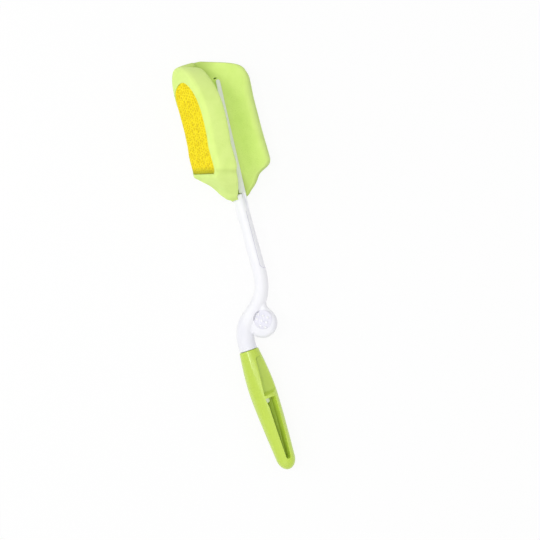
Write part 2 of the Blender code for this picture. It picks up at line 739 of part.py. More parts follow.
def prong_outline(grow):
    """The visible prong's outline: it leans out from the shank and tapers to a round tip."""
    slope = math.tan(CLIP_LEAN)
    tip_half = 0.5 * CLIP_TIP_WIDTH
    tip_y = CLIP_TIP_Y - tip_half
    right_tip = CLIP_STEP_X + slope * (tip_y - CLIP_STEP_Y)
    right_root = CLIP_STEP_X + slope * (SHANK_TOP_Y - CLIP_STEP_Y)
    left_root = right_root - CLIP_ROOT_WIDTH
    strip_side = strip_inner_x(CLIP_STEP_Y - CLIP_STEP_LENGTH)
    step_start = CLIP_STEP_Y - CLIP_STEP_LENGTH - grow
    outline = [(strip_side - grow, step_start), (0.94 * SHANK_RADIUS + grow, step_start),
               (CLIP_STEP_X + grow, CLIP_STEP_Y)]
    outline += arc((right_tip - tip_half, tip_y), tip_half + grow, 0, 180, 8)
    outline += [(left_root - grow, SHANK_TOP_Y + PRONG_SHOULDER + grow),
                (strip_inner_x(SHANK_TOP_Y) - grow, SHANK_TOP_Y + CLEARANCE)]
    return outline


def strip_inner_x(y):
    """The straight inner side of the strip let into the shank."""
    share = (y - STRIP_END_Y) / (CLIP_STEP_Y - STRIP_END_Y)
    return blend(STRIP_END_X, STRIP_TOP_X, share)


def strip_outline(grow, outside):
    """The strip's outline: straight inner side and an end that rounds out to the shank's side."""
    radius = STRIP_END_ROUND
    corner = (STRIP_END_X + radius, STRIP_END_Y + radius)
    outline = [(outside, STRIP_END_Y - grow)]
    outline += reversed(arc(corner, radius + grow, 180, 270, 6))
    outline += [(strip_inner_x(SHANK_TOP_Y) - grow, SHANK_TOP_Y + 2.0 * grow),
                (outside, SHANK_TOP_Y + 2.0 * grow)]
    return outline


def flat_bar(name, outline, collection):
    """A flat bar of the prongs' thickness on the rod's axis, with rounded edges."""
    half = 0.5 * PRONG_THICKNESS
    bar = prism(name, outline, ROD_Z - half, ROD_Z + half, collection)
    return bevelled(bar, PRONG_EDGE, 2, collection)


def make_rod(collection):
    """The white rod: bent tube, journal, knob and hidden spike in one moulding."""
    rod = make_tube("crank_rod", 0.0, collection)
    journal = make_journal(collection)
    journal.matrix_world = grip_matrix()
    rod = combined(rod, journal, "UNION", collection)
    rod = combined(rod, make_knob(collection), "UNION", collection)
    rod = combined(rod, flat_bar("spike", spike_outline(0.0), collection), "UNION", collection)
    outside = 3.0 * SHANK_RADIUS
    recess = prism("strip_cutter", strip_outline(CLEARANCE, outside), ROD_Z - outside,
                   ROD_Z + outside, collection)
    return combined(rod, recess, "DIFFERENCE", collection)


def make_clip(collection):
    """The sponge clip: a strip flush with the shank's side that runs up as the prong."""
    outside = 3.0 * SHANK_RADIUS
    length = SHANK_TOP_Y - STRIP_END_Y + CLEARANCE
    bpy.ops.mesh.primitive_cylinder_add(vertices=TURNED_STEPS, radius=SHANK_RADIUS, depth=length)
    blank = bpy.context.object
    blank.name = "sponge_clip"
    for owner in list(blank.users_collection):
        owner.objects.unlink(blank)
    collection.objects.link(blank)
    blank.matrix_world = (Matrix.Translation((0.0, SHANK_TOP_Y - 0.5 * length, ROD_Z))
                          @ Matrix.Rotation(math.pi / 2, 4, "X"))
    strip = prism("strip", strip_outline(0.0, outside), ROD_Z - outside, ROD_Z + outside, collection)
    clip = combined(blank, strip, "INTERSECT", collection)
    prong = flat_bar("prong", prong_outline(0.0), collection)
    return combined(clip, prong, "UNION", collection)


def scrub_shape(front):
    """The front or back scrub pad's outline."""
    if front:
        return PadShape(FRONT_SCRUB_WIDTH, FRONT_SCRUB_CENTRE, FRONT_SCRUB_LOW_Y, FRONT_SCRUB_SLANT)
    return PadShape(BACK_SCRUB_WIDTH, BACK_SCRUB_CENTRE, BACK_SCRUB_LOW_Y, BACK_SCRUB_SLANT)


def scrub_half_width(shape, y, grow):
    """Half the scrub pad's width at y: round lower corners, straight sides, arched top."""
    half = 0.5 * shape.width
    arch_start = SCRUB_TOP_Y - SCRUB_ARCH_HEIGHT
    if y > arch_start:
        rise = (y - arch_start) / (SCRUB_ARCH_HEIGHT + grow)
        return (half + grow) * math.sqrt(max(1.0 - rise * rise, 0.0))
    corner = shape.low_y + SCRUB_CORNER
    if y < corner:
        drop = min((corner - y) / (SCRUB_CORNER + grow), 1.0)
        return half - SCRUB_CORNER + (SCRUB_CORNER + grow) * math.sqrt(1.0 - drop * drop)
    return half + grow


def scrub_rows(shape, grow):
    """The y of each row of a scrub pad, closer at its rounded ends."""
    arch_start = SCRUB_TOP_Y - SCRUB_ARCH_HEIGHT
    corner = shape.low_y + SCRUB_CORNER
    rows = [corner - (SCRUB_CORNER + grow) * math.sin(math.radians(angle)) for angle in (82, 50, 20)]
    rows += [blend(corner, arch_start, share / 4) for share in range(5)]
    rows += [arch_start + (SCRUB_ARCH_HEIGHT + grow) * math.sin(math.radians(angle))
             for angle in (15, 30, 45, 60, 72, 83)]
    return rows


def scrub_body(name, front, grow, low_depth, high_depth, collection):
    """A slab that follows the foam's outer face, between two depths, grown at its outline."""
    shape = scrub_shape(front)
    columns = 10
    rings = []
    for row in scrub_rows(shape, grow):
        half = scrub_half_width(shape, row, grow)
        fade = max((SCRUB_TOP_Y - row) / (SCRUB_TOP_Y - shape.low_y), 0.0)
        ring = []
        for depth, order in ((low_depth, range(columns + 1)), (high_depth, range(columns, -1, -1))):
            for column in order:
                across = half * (2.0 * column / columns - 1.0)
                section = section_at(row - shape.slant * fade * across)
                fold_length = (section.inner + section.thickness) * (math.pi - section.angle)
                run = shape.centre + across
                if not front:
                    run = -fold_length - run
                ring.append(sheet_point(section, run, depth))
        rings.append(ring)
    return loft(name, rings, collection)


def make_scrub_pad(name, front, collection):
    """A scrub pad lying just under the foam's outer face."""
    return scrub_body(name, front, 0.0, SCRUB_SINK, SCRUB_SINK + SCRUB_THICKNESS, collection)


def make_foam(collection):
    """The folded foam head with pockets for the pads and channels for the rod and clip."""
    rings = [section_ring(y, inset) for y, inset in foam_rows()]
    foam = loft("foam_sponge", rings, collection)
    floor = SCRUB_SINK + SCRUB_THICKNESS + CLEARANCE
    for front in (True, False):
        pocket = scrub_body("pocket_cutter", front, CLEARANCE, -SCRUB_THICKNESS, floor, collection)
        foam = combined(foam, pocket, "DIFFERENCE", collection)
    bpy.ops.mesh.primitive_cylinder_add(vertices=TURNED_STEPS, radius=SHANK_RADIUS + CLEARANCE,
                                        depth=NECK_CUT_LENGTH)
    neck = bpy.context.object
    neck.matrix_world = (Matrix.Translation((0.0, SHANK_TOP_Y + CLEARANCE - 0.5 * NECK_CUT_LENGTH, ROD_Z))
                         @ Matrix.Rotation(math.pi / 2, 4, "X"))
    foam = combined(foam, neck, "DIFFERENCE", collection)
    half = 0.5 * PRONG_THICKNESS + CLEARANCE
    for outline in (spike_outline(CLEARANCE), prong_outline(CLEARANCE)):
        channel = prism("channel_cutter", outline, ROD_Z - half, ROD_Z + half, collection)
        foam = combined(foam, channel, "DIFFERENCE", collection)
    slit_x = CLIP_STEP_X + math.tan(CLIP_LEAN) * (CLIP_TIP_Y - CLIP_STEP_Y) - CLIP_TIP_WIDTH
    slit = arc((0.0, 0.0), 0.5 * SLIT_LENGTH, 0, 330, 11)
    slit = [(slit_x + x, CLIP_TIP_Y + SLIT_ABOVE_TIP + y * SLIT_WIDTH / SLIT_LENGTH) for x, y in slit]
    slab_top = ROD_Z - FOLD_INNER_RADIUS
    hole = prism("slit_cutter", slit, slab_top - SLIT_DEPTH, ROD_Z + CUT_PAST, collection)
    return combined(foam, hole, "DIFFERENCE", collection)


def finish_piece(piece, parent, material):
    """Parents a piece where it lies, gives it its finish and shades it smooth."""
    place = piece.matrix_world.copy()
    piece.parent = parent
    piece.matrix_parent_inverse = parent.matrix_world.inverted()
    piece.matrix_world = place
    piece.data.materials.clear()
    piece.data.materials.append(material)
    piece.data.shade_smooth()
    piece.data.set_sharp_from_angle(angle=math.radians(35))


def stand_on_origin(frame, pieces):
    """Moves the whole brush so that its box is centred over the origin and stands on it."""
    bpy.context.view_layer.update()
    graph = bpy.context.evaluated_depsgraph_get()
    corners = []
    for piece in pieces:
        mesh = piece.evaluated_get(graph).data
        corners += [piece.matrix_world @ vertex.co for vertex in mesh.vertices]
    low = Vector([min(corner[axis] for corner in corners) for axis in range(3)])
    high = Vector([max(corner[axis] for corner in corners) for axis in range(3)])
    frame.location -= Vector((0.5 * (low.x + high.x), 0.5 * (low.y + high.y), low.z))
    bpy.context.view_layer.update()


def main():
    """Builds every piece and stands the brush on the origin."""
    for old in list(bpy.data.objects):
        bpy.data.objects.remove(old)
    collection = bpy.data.collections.new(COLLECTION_NAME)
    bpy.context.scene.collection.children.link(collection)
    frame = add_object("brush_frame", None, collection)
    axis = add_object("grip_axis", None, collection)
    axis.parent = frame
    axis.matrix_world = grip_matrix()
    bpy.context.view_layer.update()

    white = (0.93, 0.93, 0.95)
    lime_foam = (0.70, 0.91, 0.26)
    yellow = (0.94, 0.78, 0.03)
    grip = make_grip(collection)
    grip.matrix_world = grip_matrix()
    pieces = [
        (grip, axis, new_material("lime_plastic", (0.58, 0.78, 0.12), 0.28)),
        (make_rod(collection), frame, new_material("white_plastic", white, 0.32)),
        (make_clip(collection), frame, new_material("white_clip_plastic", white, 0.32)),
        (make_thumb_pad("thumb_pad_front", 1, collection), frame,
         new_material("white_rubber", white, 0.55)),
        (make_thumb_pad("thumb_pad_back", -1, collection), frame,
         new_material("white_rubber_back", white, 0.55)),
        (make_foam(collection), frame, new_material("lime_foam", lime_foam, 0.9)),
        (make_scrub_pad("scrub_pad_front", True, collection), frame,
         new_material("yellow_mesh", yellow, 0.8)),
        (make_scrub_pad("scrub_pad_back", False, collection), frame,
         new_material("yellow_mesh_back", yellow, 0.8)),
    ]
    for piece, parent, material in pieces:
        finish_piece(piece, parent, material)
    stand_on_origin(frame, [piece for piece, _, _ in pieces])


main()
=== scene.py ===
"""The look of a rotating bottle brush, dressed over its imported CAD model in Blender 4.5.

Every length is in metres. The pieces are drawn in the maker's frame, in which Y runs up
the shank and the shank's axis lies at x = 0, and Bench moves them to the frame of the CAD.
"""

import json
import logging
import math
from dataclasses import dataclass
from enum import Enum
from functools import cached_property
from typing import Callable, Iterable, Mapping, NamedTuple, Sequence, Union

import bmesh
import bpy
from mathutils import Matrix, Vector, noise

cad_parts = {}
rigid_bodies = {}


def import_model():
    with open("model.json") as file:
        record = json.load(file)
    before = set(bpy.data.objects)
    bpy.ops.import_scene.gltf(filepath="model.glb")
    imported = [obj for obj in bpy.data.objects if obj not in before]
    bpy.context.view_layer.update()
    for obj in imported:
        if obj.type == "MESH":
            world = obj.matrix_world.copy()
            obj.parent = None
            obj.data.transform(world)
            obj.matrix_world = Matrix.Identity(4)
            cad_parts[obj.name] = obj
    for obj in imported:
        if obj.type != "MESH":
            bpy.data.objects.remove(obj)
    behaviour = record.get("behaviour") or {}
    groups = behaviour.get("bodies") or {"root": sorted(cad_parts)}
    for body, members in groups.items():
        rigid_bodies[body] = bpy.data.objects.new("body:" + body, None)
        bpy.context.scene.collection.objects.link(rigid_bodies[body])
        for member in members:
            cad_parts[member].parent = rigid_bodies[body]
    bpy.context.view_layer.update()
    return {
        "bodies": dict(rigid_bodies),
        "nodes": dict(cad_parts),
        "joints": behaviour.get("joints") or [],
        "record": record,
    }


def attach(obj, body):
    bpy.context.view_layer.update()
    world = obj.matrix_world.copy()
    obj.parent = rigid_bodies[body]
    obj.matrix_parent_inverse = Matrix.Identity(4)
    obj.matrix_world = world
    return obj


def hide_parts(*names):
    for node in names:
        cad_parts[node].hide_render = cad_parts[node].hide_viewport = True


SPIN_JOINT = "handle_spin"
LOG = logging.getLogger("bottle_brush")

Colour = tuple[float, float, float]
Point = tuple[float, float]
Triple = tuple[float, float, float]
Object = bpy.types.Object
Material = bpy.types.Material
Builder = bmesh.types.BMesh
Corner = bmesh.types.BMVert


class Body(Enum):
    """The CAD bodies that pieces ride on."""

    BRUSH = "brush"
    GRIP = "grip"


class Side(Enum):
    """Which face of the brush a piece lies on, as the sign of its outward direction."""

    FRONT = 1
    BACK = -1


def from_screen(red: int, green: int, blue: int) -> Colour:
    """The linear colour of a screen colour.

    Args:
        red: Red from 0 to 255.
        green: Green from 0 to 255.
        blue: Blue from 0 to 255.

    Returns:
        The same colour as linear light.
    """

    def linear(level: int) -> float:
        """One channel as linear light."""
        share = level / 255
        return share / 12.92 if share <= 0.04045 else ((share + 0.055) / 1.055) ** 2.4

    return linear(red), linear(green), linear(blue)


class Signal:
    """A socket of a finish that sums and products can be written with."""

    def __init__(self, graph: "Graph", socket: bpy.types.NodeSocket) -> None:
        """Wraps one output socket of a graph."""
        self.graph = graph
        self.socket = socket

    def _math(self, operation: str, first: "Value", second: "Value") -> "Signal":
        """A Math node of two values.

        Args:
            operation: The node's operation.
            first: Its first value.
            second: Its second value.

        Returns:
            The node's result.
        """
        return self.graph.node("ShaderNodeMath", {"operation": operation}, {0: first, 1: second})

    def __add__(self, other: "Value") -> "Signal":
        """This value plus another."""
        return self._math("ADD", self, other)

    def __sub__(self, other: "Value") -> "Signal":
        """This value less another."""
        return self._math("SUBTRACT", self, other)

    def __rsub__(self, other: "Value") -> "Signal":
        """Another value less this."""
        return self._math("SUBTRACT", other, self)

    def __mul__(self, other: "Value") -> "Signal":
        """This value times another."""
        return self._math("MULTIPLY", self, other)

    __radd__ = __add__
    __rmul__ = __mul__

    def ramp(self, low: float, high: float) -> "Signal":
        """A smooth rise of this value from 0 at low to 1 at high.

        Args:
            low: The value that gives 0.
            high: The value that gives 1.

        Returns:
            The share of the way between them.
        """
        settings = {"interpolation_type": "SMOOTHSTEP"}
        return self.graph.node("ShaderNodeMapRange", settings, {"Value": self, "From Min": low,
                                                               "From Max": high})


Value = Union[Signal, float]


class Graph:
    """The node tree of one finish."""

    def __init__(self, name: str) -> None:
        """Starts a new material with only its output.

        Args:
            name: The material's name.
        """
        self.material = bpy.data.materials.new(name)
        self.material.use_nodes = True
        self.tree = self.material.node_tree
        self.tree.nodes.clear()
        self.output = self.tree.nodes.new("ShaderNodeOutputMaterial")

    def node(self, kind: str, settings: Mapping[str, object],
             inputs: Mapping[Union[int, str], object], result: Union[int, str] = 0) -> Signal:
        """Adds a node, sets it up and then feeds it.

        Args:
            kind: The node's type.
            settings: Its properties, which are set first.
            inputs: Its sockets' values or signals, by place or name.
            result: The output that is wanted, by place or name.

        Returns:
            That output as a signal.
        """
        made = self.tree.nodes.new(kind)
        for key, setting in settings.items():
            setattr(made, key, setting)
        for key, value in inputs.items():
            socket = self.find(made.inputs, key)
            if isinstance(value, Signal):
                self.tree.links.new(value.socket, socket)
            elif isinstance(value, tuple) and len(value) == 3 and socket.type == "RGBA":
                socket.default_value = (*value, 1.0)
            else:
                socket.default_value = value
        return Signal(self, self.find(made.outputs, result))

    def find(self, sockets: Sequence[bpy.types.NodeSocket],
             key: Union[int, str]) -> bpy.types.NodeSocket:
        """One of a node's sockets.

        Args:
            sockets: The node's inputs or outputs.
            key: The socket's place, identifier or name.

        Returns:
            The socket.
        """
        if isinstance(key, int):
            return sockets[key]
        for socket in sockets:
            if socket.identifier == key:
                return socket
        return sockets[key]

    def place(self) -> Signal:
        """The point being shaded, in the frame of the CAD."""
        return self.node("ShaderNodeTexCoord", {}, {}, "Object")

    def painted(self, name: str) -> Signal:
        """The value that a piece's vertices carry under this name."""
        return self.node("ShaderNodeAttribute", {"attribute_name": name}, {}, "Fac")

    def noise(self, size: float, detail: float = 2.0, stretch: Triple = (1.0, 1.0, 1.0)) -> Signal:
        """Soft noise from 0 to 1.

        Args:
            size: The width of its patches.
            detail: How many finer layers it has.
            stretch: How much longer the patches are along each axis.

        Returns:
            The noise's level.
        """
        shrink = tuple(1.0 / share for share in stretch)
        spot = self.node("ShaderNodeVectorMath", {"operation": "MULTIPLY"},
                         {0: self.place(), 1: shrink})
        return self.node("ShaderNodeTexNoise", {}, {"Vector": spot, "Scale": 1.0 / size,
                                                    "Detail": detail})

    def cells(self, size: float) -> Signal:
        """The distance to the middle of the nearest cell, from 0 to about 1.

        Args:
            size: The cells' width.

        Returns:
            The distance.
        """
        return self.node("ShaderNodeTexVoronoi", {}, {"Vector": self.place(), "Scale": 1.0 / size},
                         "Distance")

    def mix(self, share: Value, first: object, second: object) -> Signal:
        """A colour between two colours.

        Args:
            share: How much of the second.
            first: A colour or a colour's signal.
            second: A colour or a colour's signal.

        Returns:
            The mixed colour.
        """
        return self.node("ShaderNodeMix", {"data_type": "RGBA"},
                         {"Factor_Float": share, "A_Color": first, "B_Color": second},
                         "Result_Color")

    def relief(self, height: Signal, distance: float, strength: float = 1.0) -> Signal:
        """The normal of a surface with fine relief.

        Args:
            height: The relief's height from 0 to 1.
            distance: The height in metres that 1 stands for.
            strength: How strongly it shows.

        Returns:
            The bent normal.
        """
        return self.node("ShaderNodeBump", {}, {"Strength": strength, "Distance": distance,
                                                "Height": height})

    def skin(self, inputs: Mapping[str, object]) -> Material:
        """Finishes the material with one Principled shader.

        Args:
            inputs: The shader's values and signals by socket name.

        Returns:
            The finished material.
        """
        shader = self.node("ShaderNodeBsdfPrincipled", {}, inputs)
        self.tree.links.new(shader.socket, self.output.inputs["Surface"])
        return self.material


@dataclass(frozen=True)
class Finish:
    """What every finish has: the name of its material."""

    name: str


@dataclass(frozen=True)
class FoamFinish(Finish):
    """Open-celled sponge foam: fine pores, a soft mottle and no gloss, with painted shade and a
    paler cut edge painted as light.
    """

    colour: Colour
    deep_colour: Colour
    # The colour of the painted shade in the fold, behind the arch, in the crease and at the right
    # edge.
    shade_colour: Colour
    # A paler colour painted on the flap's cut edge as painted light.
    cut_edge_light_colour: Colour
    cell: float = 0.00062
    pore_depth: float = 0.00022
    mottle: float = 0.009

    def material(self) -> Material:
        """The foam's material.

        Returns:
            The material.
        """
        graph = Graph(self.name)
        pores = graph.cells(self.cell).ramp(0.30, 0.05)
        wide_pores = graph.cells(2.7 * self.cell).ramp(0.17, 0.05)
        grain = graph.noise(1.6 * self.cell, 3.0)
        patches = graph.noise(self.mottle, 2.0).ramp(0.35, 0.70)
        shade = 0.16 * patches + 0.22 * pores + 0.20 * wide_pores + 0.10 * grain
        height = 0.55 * grain - 0.8 * pores - 0.7 * wide_pores
        # The flap's cut edge is painted paler as painted light, and the shade attribute paints
        # shade.
        foam = graph.mix(shade, graph.mix(graph.painted("cut"), self.colour, self.cut_edge_light_colour),
                         self.deep_colour)
        return graph.skin({
            "Base Color": graph.mix(graph.painted("shade"), foam, self.shade_colour),
            "Roughness": 0.86 + 0.12 * grain,
            "Specular IOR Level": 0.12,
            "Sheen Weight": 0.12,
            "Sheen Roughness": 0.6,
            "Normal": graph.relief(height, self.pore_depth, 0.8),
        })


@dataclass(frozen=True)
class NettingFinish(Finish):
    """Knitted scrubbing mesh, whose stitches are in the piece's stitch attribute, with painted
    shade along its lower edge.
    """

    colour: Colour
    hole_colour: Colour
    # The colour of the painted shade along the pad's lower edge.
    edge_shade_colour: Colour
    thread: float = 0.00034
    wear: float = 0.012

    def material(self) -> Material:
        """The netting's material.

        Returns:
            The material.
        """
        graph = Graph(self.name)
        stitch = graph.painted("stitch")
        fibre = graph.noise(self.thread, 3.0)
        tuft = graph.cells(2.2 * self.thread).ramp(0.55, 0.15)
        worn = graph.noise(self.wear, 2.0).ramp(0.40, 0.75)
        shade = 0.66 * stitch + 0.12 * fibre + 0.08 * worn
        height = 0.6 * fibre + 0.5 * tuft - 0.6 * stitch
        # The pad's lower edge is painted with shade.
        return graph.skin({
            "Base Color": graph.mix(graph.painted("edge_shade"),
                                    graph.mix(shade, self.colour, self.hole_colour),
                                    self.edge_shade_colour),
            "Roughness": 0.66 + 0.22 * fibre,
            "Specular IOR Level": 0.12,
            "Sheen Weight": 0.04,
            "Normal": graph.relief(height, 0.6 * self.thread, 0.7),
        })


@dataclass(frozen=True)
class MouldedFinish(Finish):
    """Injection-moulded plastic: a faint flow mottle, fine skin and light handling marks.

    The piece's pocket attribute paints shade into pockets and grooves, and its glow attribute is
    painted light, given off as emission, that stands in for light through a thin wall.
    """

    colour: Colour
    shade_colour: Colour
    roughness: float
    # The colour of the painted shade in pockets and grooves.
    pocket_shade_colour: Colour = (0.0, 0.0, 0.0)
    # The colour of the painted light given off as emission.
    painted_glow_colour: Colour = (0.0, 0.0, 0.0)
    coat: float = 0.0
    grain: float = 0.00045
    grain_depth: float = 0.00002
    flow: float = 0.016
    scratch: float = 0.0011
    smudge: float = 0.011
    marks: float = 0.10

    def material(self) -> Material:
        """The plastic's material.

        Returns:
            The material.
        """
        graph = Graph(self.name)
        flow = graph.noise(self.flow, 2.0, (1.0, 2.6, 1.0)).ramp(0.35, 0.75)
        skin = graph.noise(self.grain, 2.0)
        hairs = graph.noise(self.scratch, 2.0, (1.0, 9.0, 1.0)).ramp(0.62, 0.72)
        smudge = graph.noise(self.smudge, 3.0).ramp(0.45, 0.80)
        plastic = graph.mix(0.55 * flow + 0.12 * smudge, self.colour, self.shade_colour)
        # Painted shade from the pocket attribute, and painted light as emission from the glow
        # attribute.
        pocket = graph.painted("pocket")
        return graph.skin({
            "Base Color": graph.mix(pocket, plastic, self.pocket_shade_colour),
            "Emission Color": graph.mix(graph.painted("glow"), (0.0, 0.0, 0.0), self.painted_glow_colour),
            "Emission Strength": 1.0,
            "Roughness": (self.roughness + self.marks * smudge + 0.5 * self.marks * hairs
                          + 0.55 * pocket),
            "Coat Weight": self.coat * (1.0 - pocket),
            "Coat Roughness": 0.12,
            "Normal": graph.relief(skin - 0.5 * hairs, self.grain_depth, 0.35),
        })


@dataclass(frozen=True)
class RubberFinish(Finish):
    """Soft moulded rubber: matt, with a fine powdery grain and a painted highlight on its raised
    dots.
    """

    colour: Colour
    shade_colour: Colour
    # The colour of the painted highlight on the raised dots.
    dot_highlight_colour: Colour
    grain: float = 0.00030
    grain_depth: float = 0.00004
    dust: float = 0.0042

    def material(self) -> Material:
        """The rubber's material.

        Returns:
            The material.
        """
        graph = Graph(self.name)
        powder = graph.noise(self.grain, 3.0)
        dust = graph.noise(self.dust, 2.0).ramp(0.40, 0.75)
        rubber = graph.mix(0.35 * dust + 0.15 * powder, self.colour, self.shade_colour)
        # The dot attribute paints a highlight on the raised dots.
        return graph.skin({
            "Base Color": graph.mix(graph.painted("dot"), rubber, self.dot_highlight_colour),
            "Roughness": 0.52 + 0.12 * powder,
            "Normal": graph.relief(powder, self.grain_depth, 0.5),
        })


@dataclass(frozen=True)
class FloorFinish(Finish):
    """A pale floor that shows as white and still takes the brush's shadow."""

    colour: Colour = (0.94, 0.94, 0.94)
    glow: float = 0.90

    def material(self) -> Material:
        """The floor's material.

        Returns:
            The material.
        """
        graph = Graph(self.name)
        matt = graph.node("ShaderNodeBsdfDiffuse", {}, {"Color": self.colour})
        white = graph.node("ShaderNodeEmission", {}, {"Color": (1.0, 1.0, 1.0), "Strength": 1.0})
        seen = graph.node("ShaderNodeLightPath", {}, {}, "Is Camera Ray")
        mirrored = graph.node("ShaderNodeLightPath", {}, {}, "Is Glossy Ray")
        through = graph.node("ShaderNodeLightPath", {}, {}, "Is Transmission Ray")
        share = self.glow * (seen + mirrored + through)
        mixed = graph.node("ShaderNodeMixShader", {}, {0: share, 1: matt, 2: white})
        graph.tree.links.new(mixed.socket, graph.output.inputs["Surface"])
        return graph.material


@dataclass(frozen=True)
class Layout:
    """The places that several pieces share, in the maker's frame.

    The outside is how far from the shank's axis a tool reaches that cuts through its side.
    """

    gap: float = 0.0003
    running_gap: float = 0.0001
    rod_height: float = 0.020
    grip_height: float = 0.0109
    shank_radius: float = 0.0052
    shank_top: float = 0.008
    mouth_x: float = -0.0254
    mouth_y: float = -0.1132
    grip_lean: float = math.radians(3.3)
    knob_from_leg: float = 0.0186
    knob_above_mouth: float = 0.0176
    outside: float = 0.0156

    def mouth(self) -> Vector:
        """The middle of the grip's mouth."""
        return Vector((self.mouth_x, self.mouth_y, self.grip_height))

    def grip_matrix(self) -> Matrix:
        """The grip's own frame: origin at its mouth, Z up its axis, Y down to the floor.

        Returns:
            The frame.
        """
        up = Vector((-math.sin(self.grip_lean), math.cos(self.grip_lean), 0.0))
        across = Vector((math.cos(self.grip_lean), math.sin(self.grip_lean), 0.0))
        matrix = Matrix((across, Vector((0.0, 0.0, -1.0)), up)).transposed().to_4x4()
        matrix.translation = self.mouth()
        return matrix

    def knob_matrix(self) -> Matrix:
        """The knob's own frame: origin at its centre, Z square to the crank's plane.

        Returns:
            The frame.
        """
        offset = Vector((-self.mouth_x, 0.0, self.rod_height - self.grip_height)).normalized()
        normal = offset.cross(Vector((0.0, 1.0, 0.0)))
        along = self.grip_matrix().col[2].to_3d()
        along = (along - normal * along.dot(normal)).normalized()
        across = along.cross(normal)
        matrix = Matrix((across, along, normal)).transposed().to_4x4()
        matrix.translation = (self.mouth() + along * self.knob_above_mouth
                              + across * self.knob_from_leg)
        return matrix


def between(start: float, end: float, share: float) -> float:
    """The value a share of the way from start to end."""
    return start + (end - start) * share


def clamped(value: float, low: float = 0.0, high: float = 1.0) -> float:
    """The value kept from low to high."""
    return min(max(value, low), high)


def smooth(share: float) -> float:
    """A share that leaves 0 and reaches 1 without a kink."""
    return share * share * (3.0 - 2.0 * share)


def spaced(start: float, end: float, steps: int) -> list[float]:
    """Evenly spaced values from start to end, one more than the steps."""
    return [between(start, end, step / steps) for step in range(steps + 1)]


def arc(centre: Point, radius: float, start: float, end: float, steps: int) -> list[Point]:
    """Points on an arc.

    Args:
        centre: The arc's centre.
        radius: Its radius.
        start: Its first angle in degrees.
        end: Its last angle in degrees.
        steps: How many spans it has.

    Returns:
        The points, one more than the spans.
    """
    turns = [math.radians(turn) for turn in spaced(start, end, steps)]
    return [(centre[0] + radius * math.cos(turn), centre[1] + radius * math.sin(turn))
            for turn in turns]


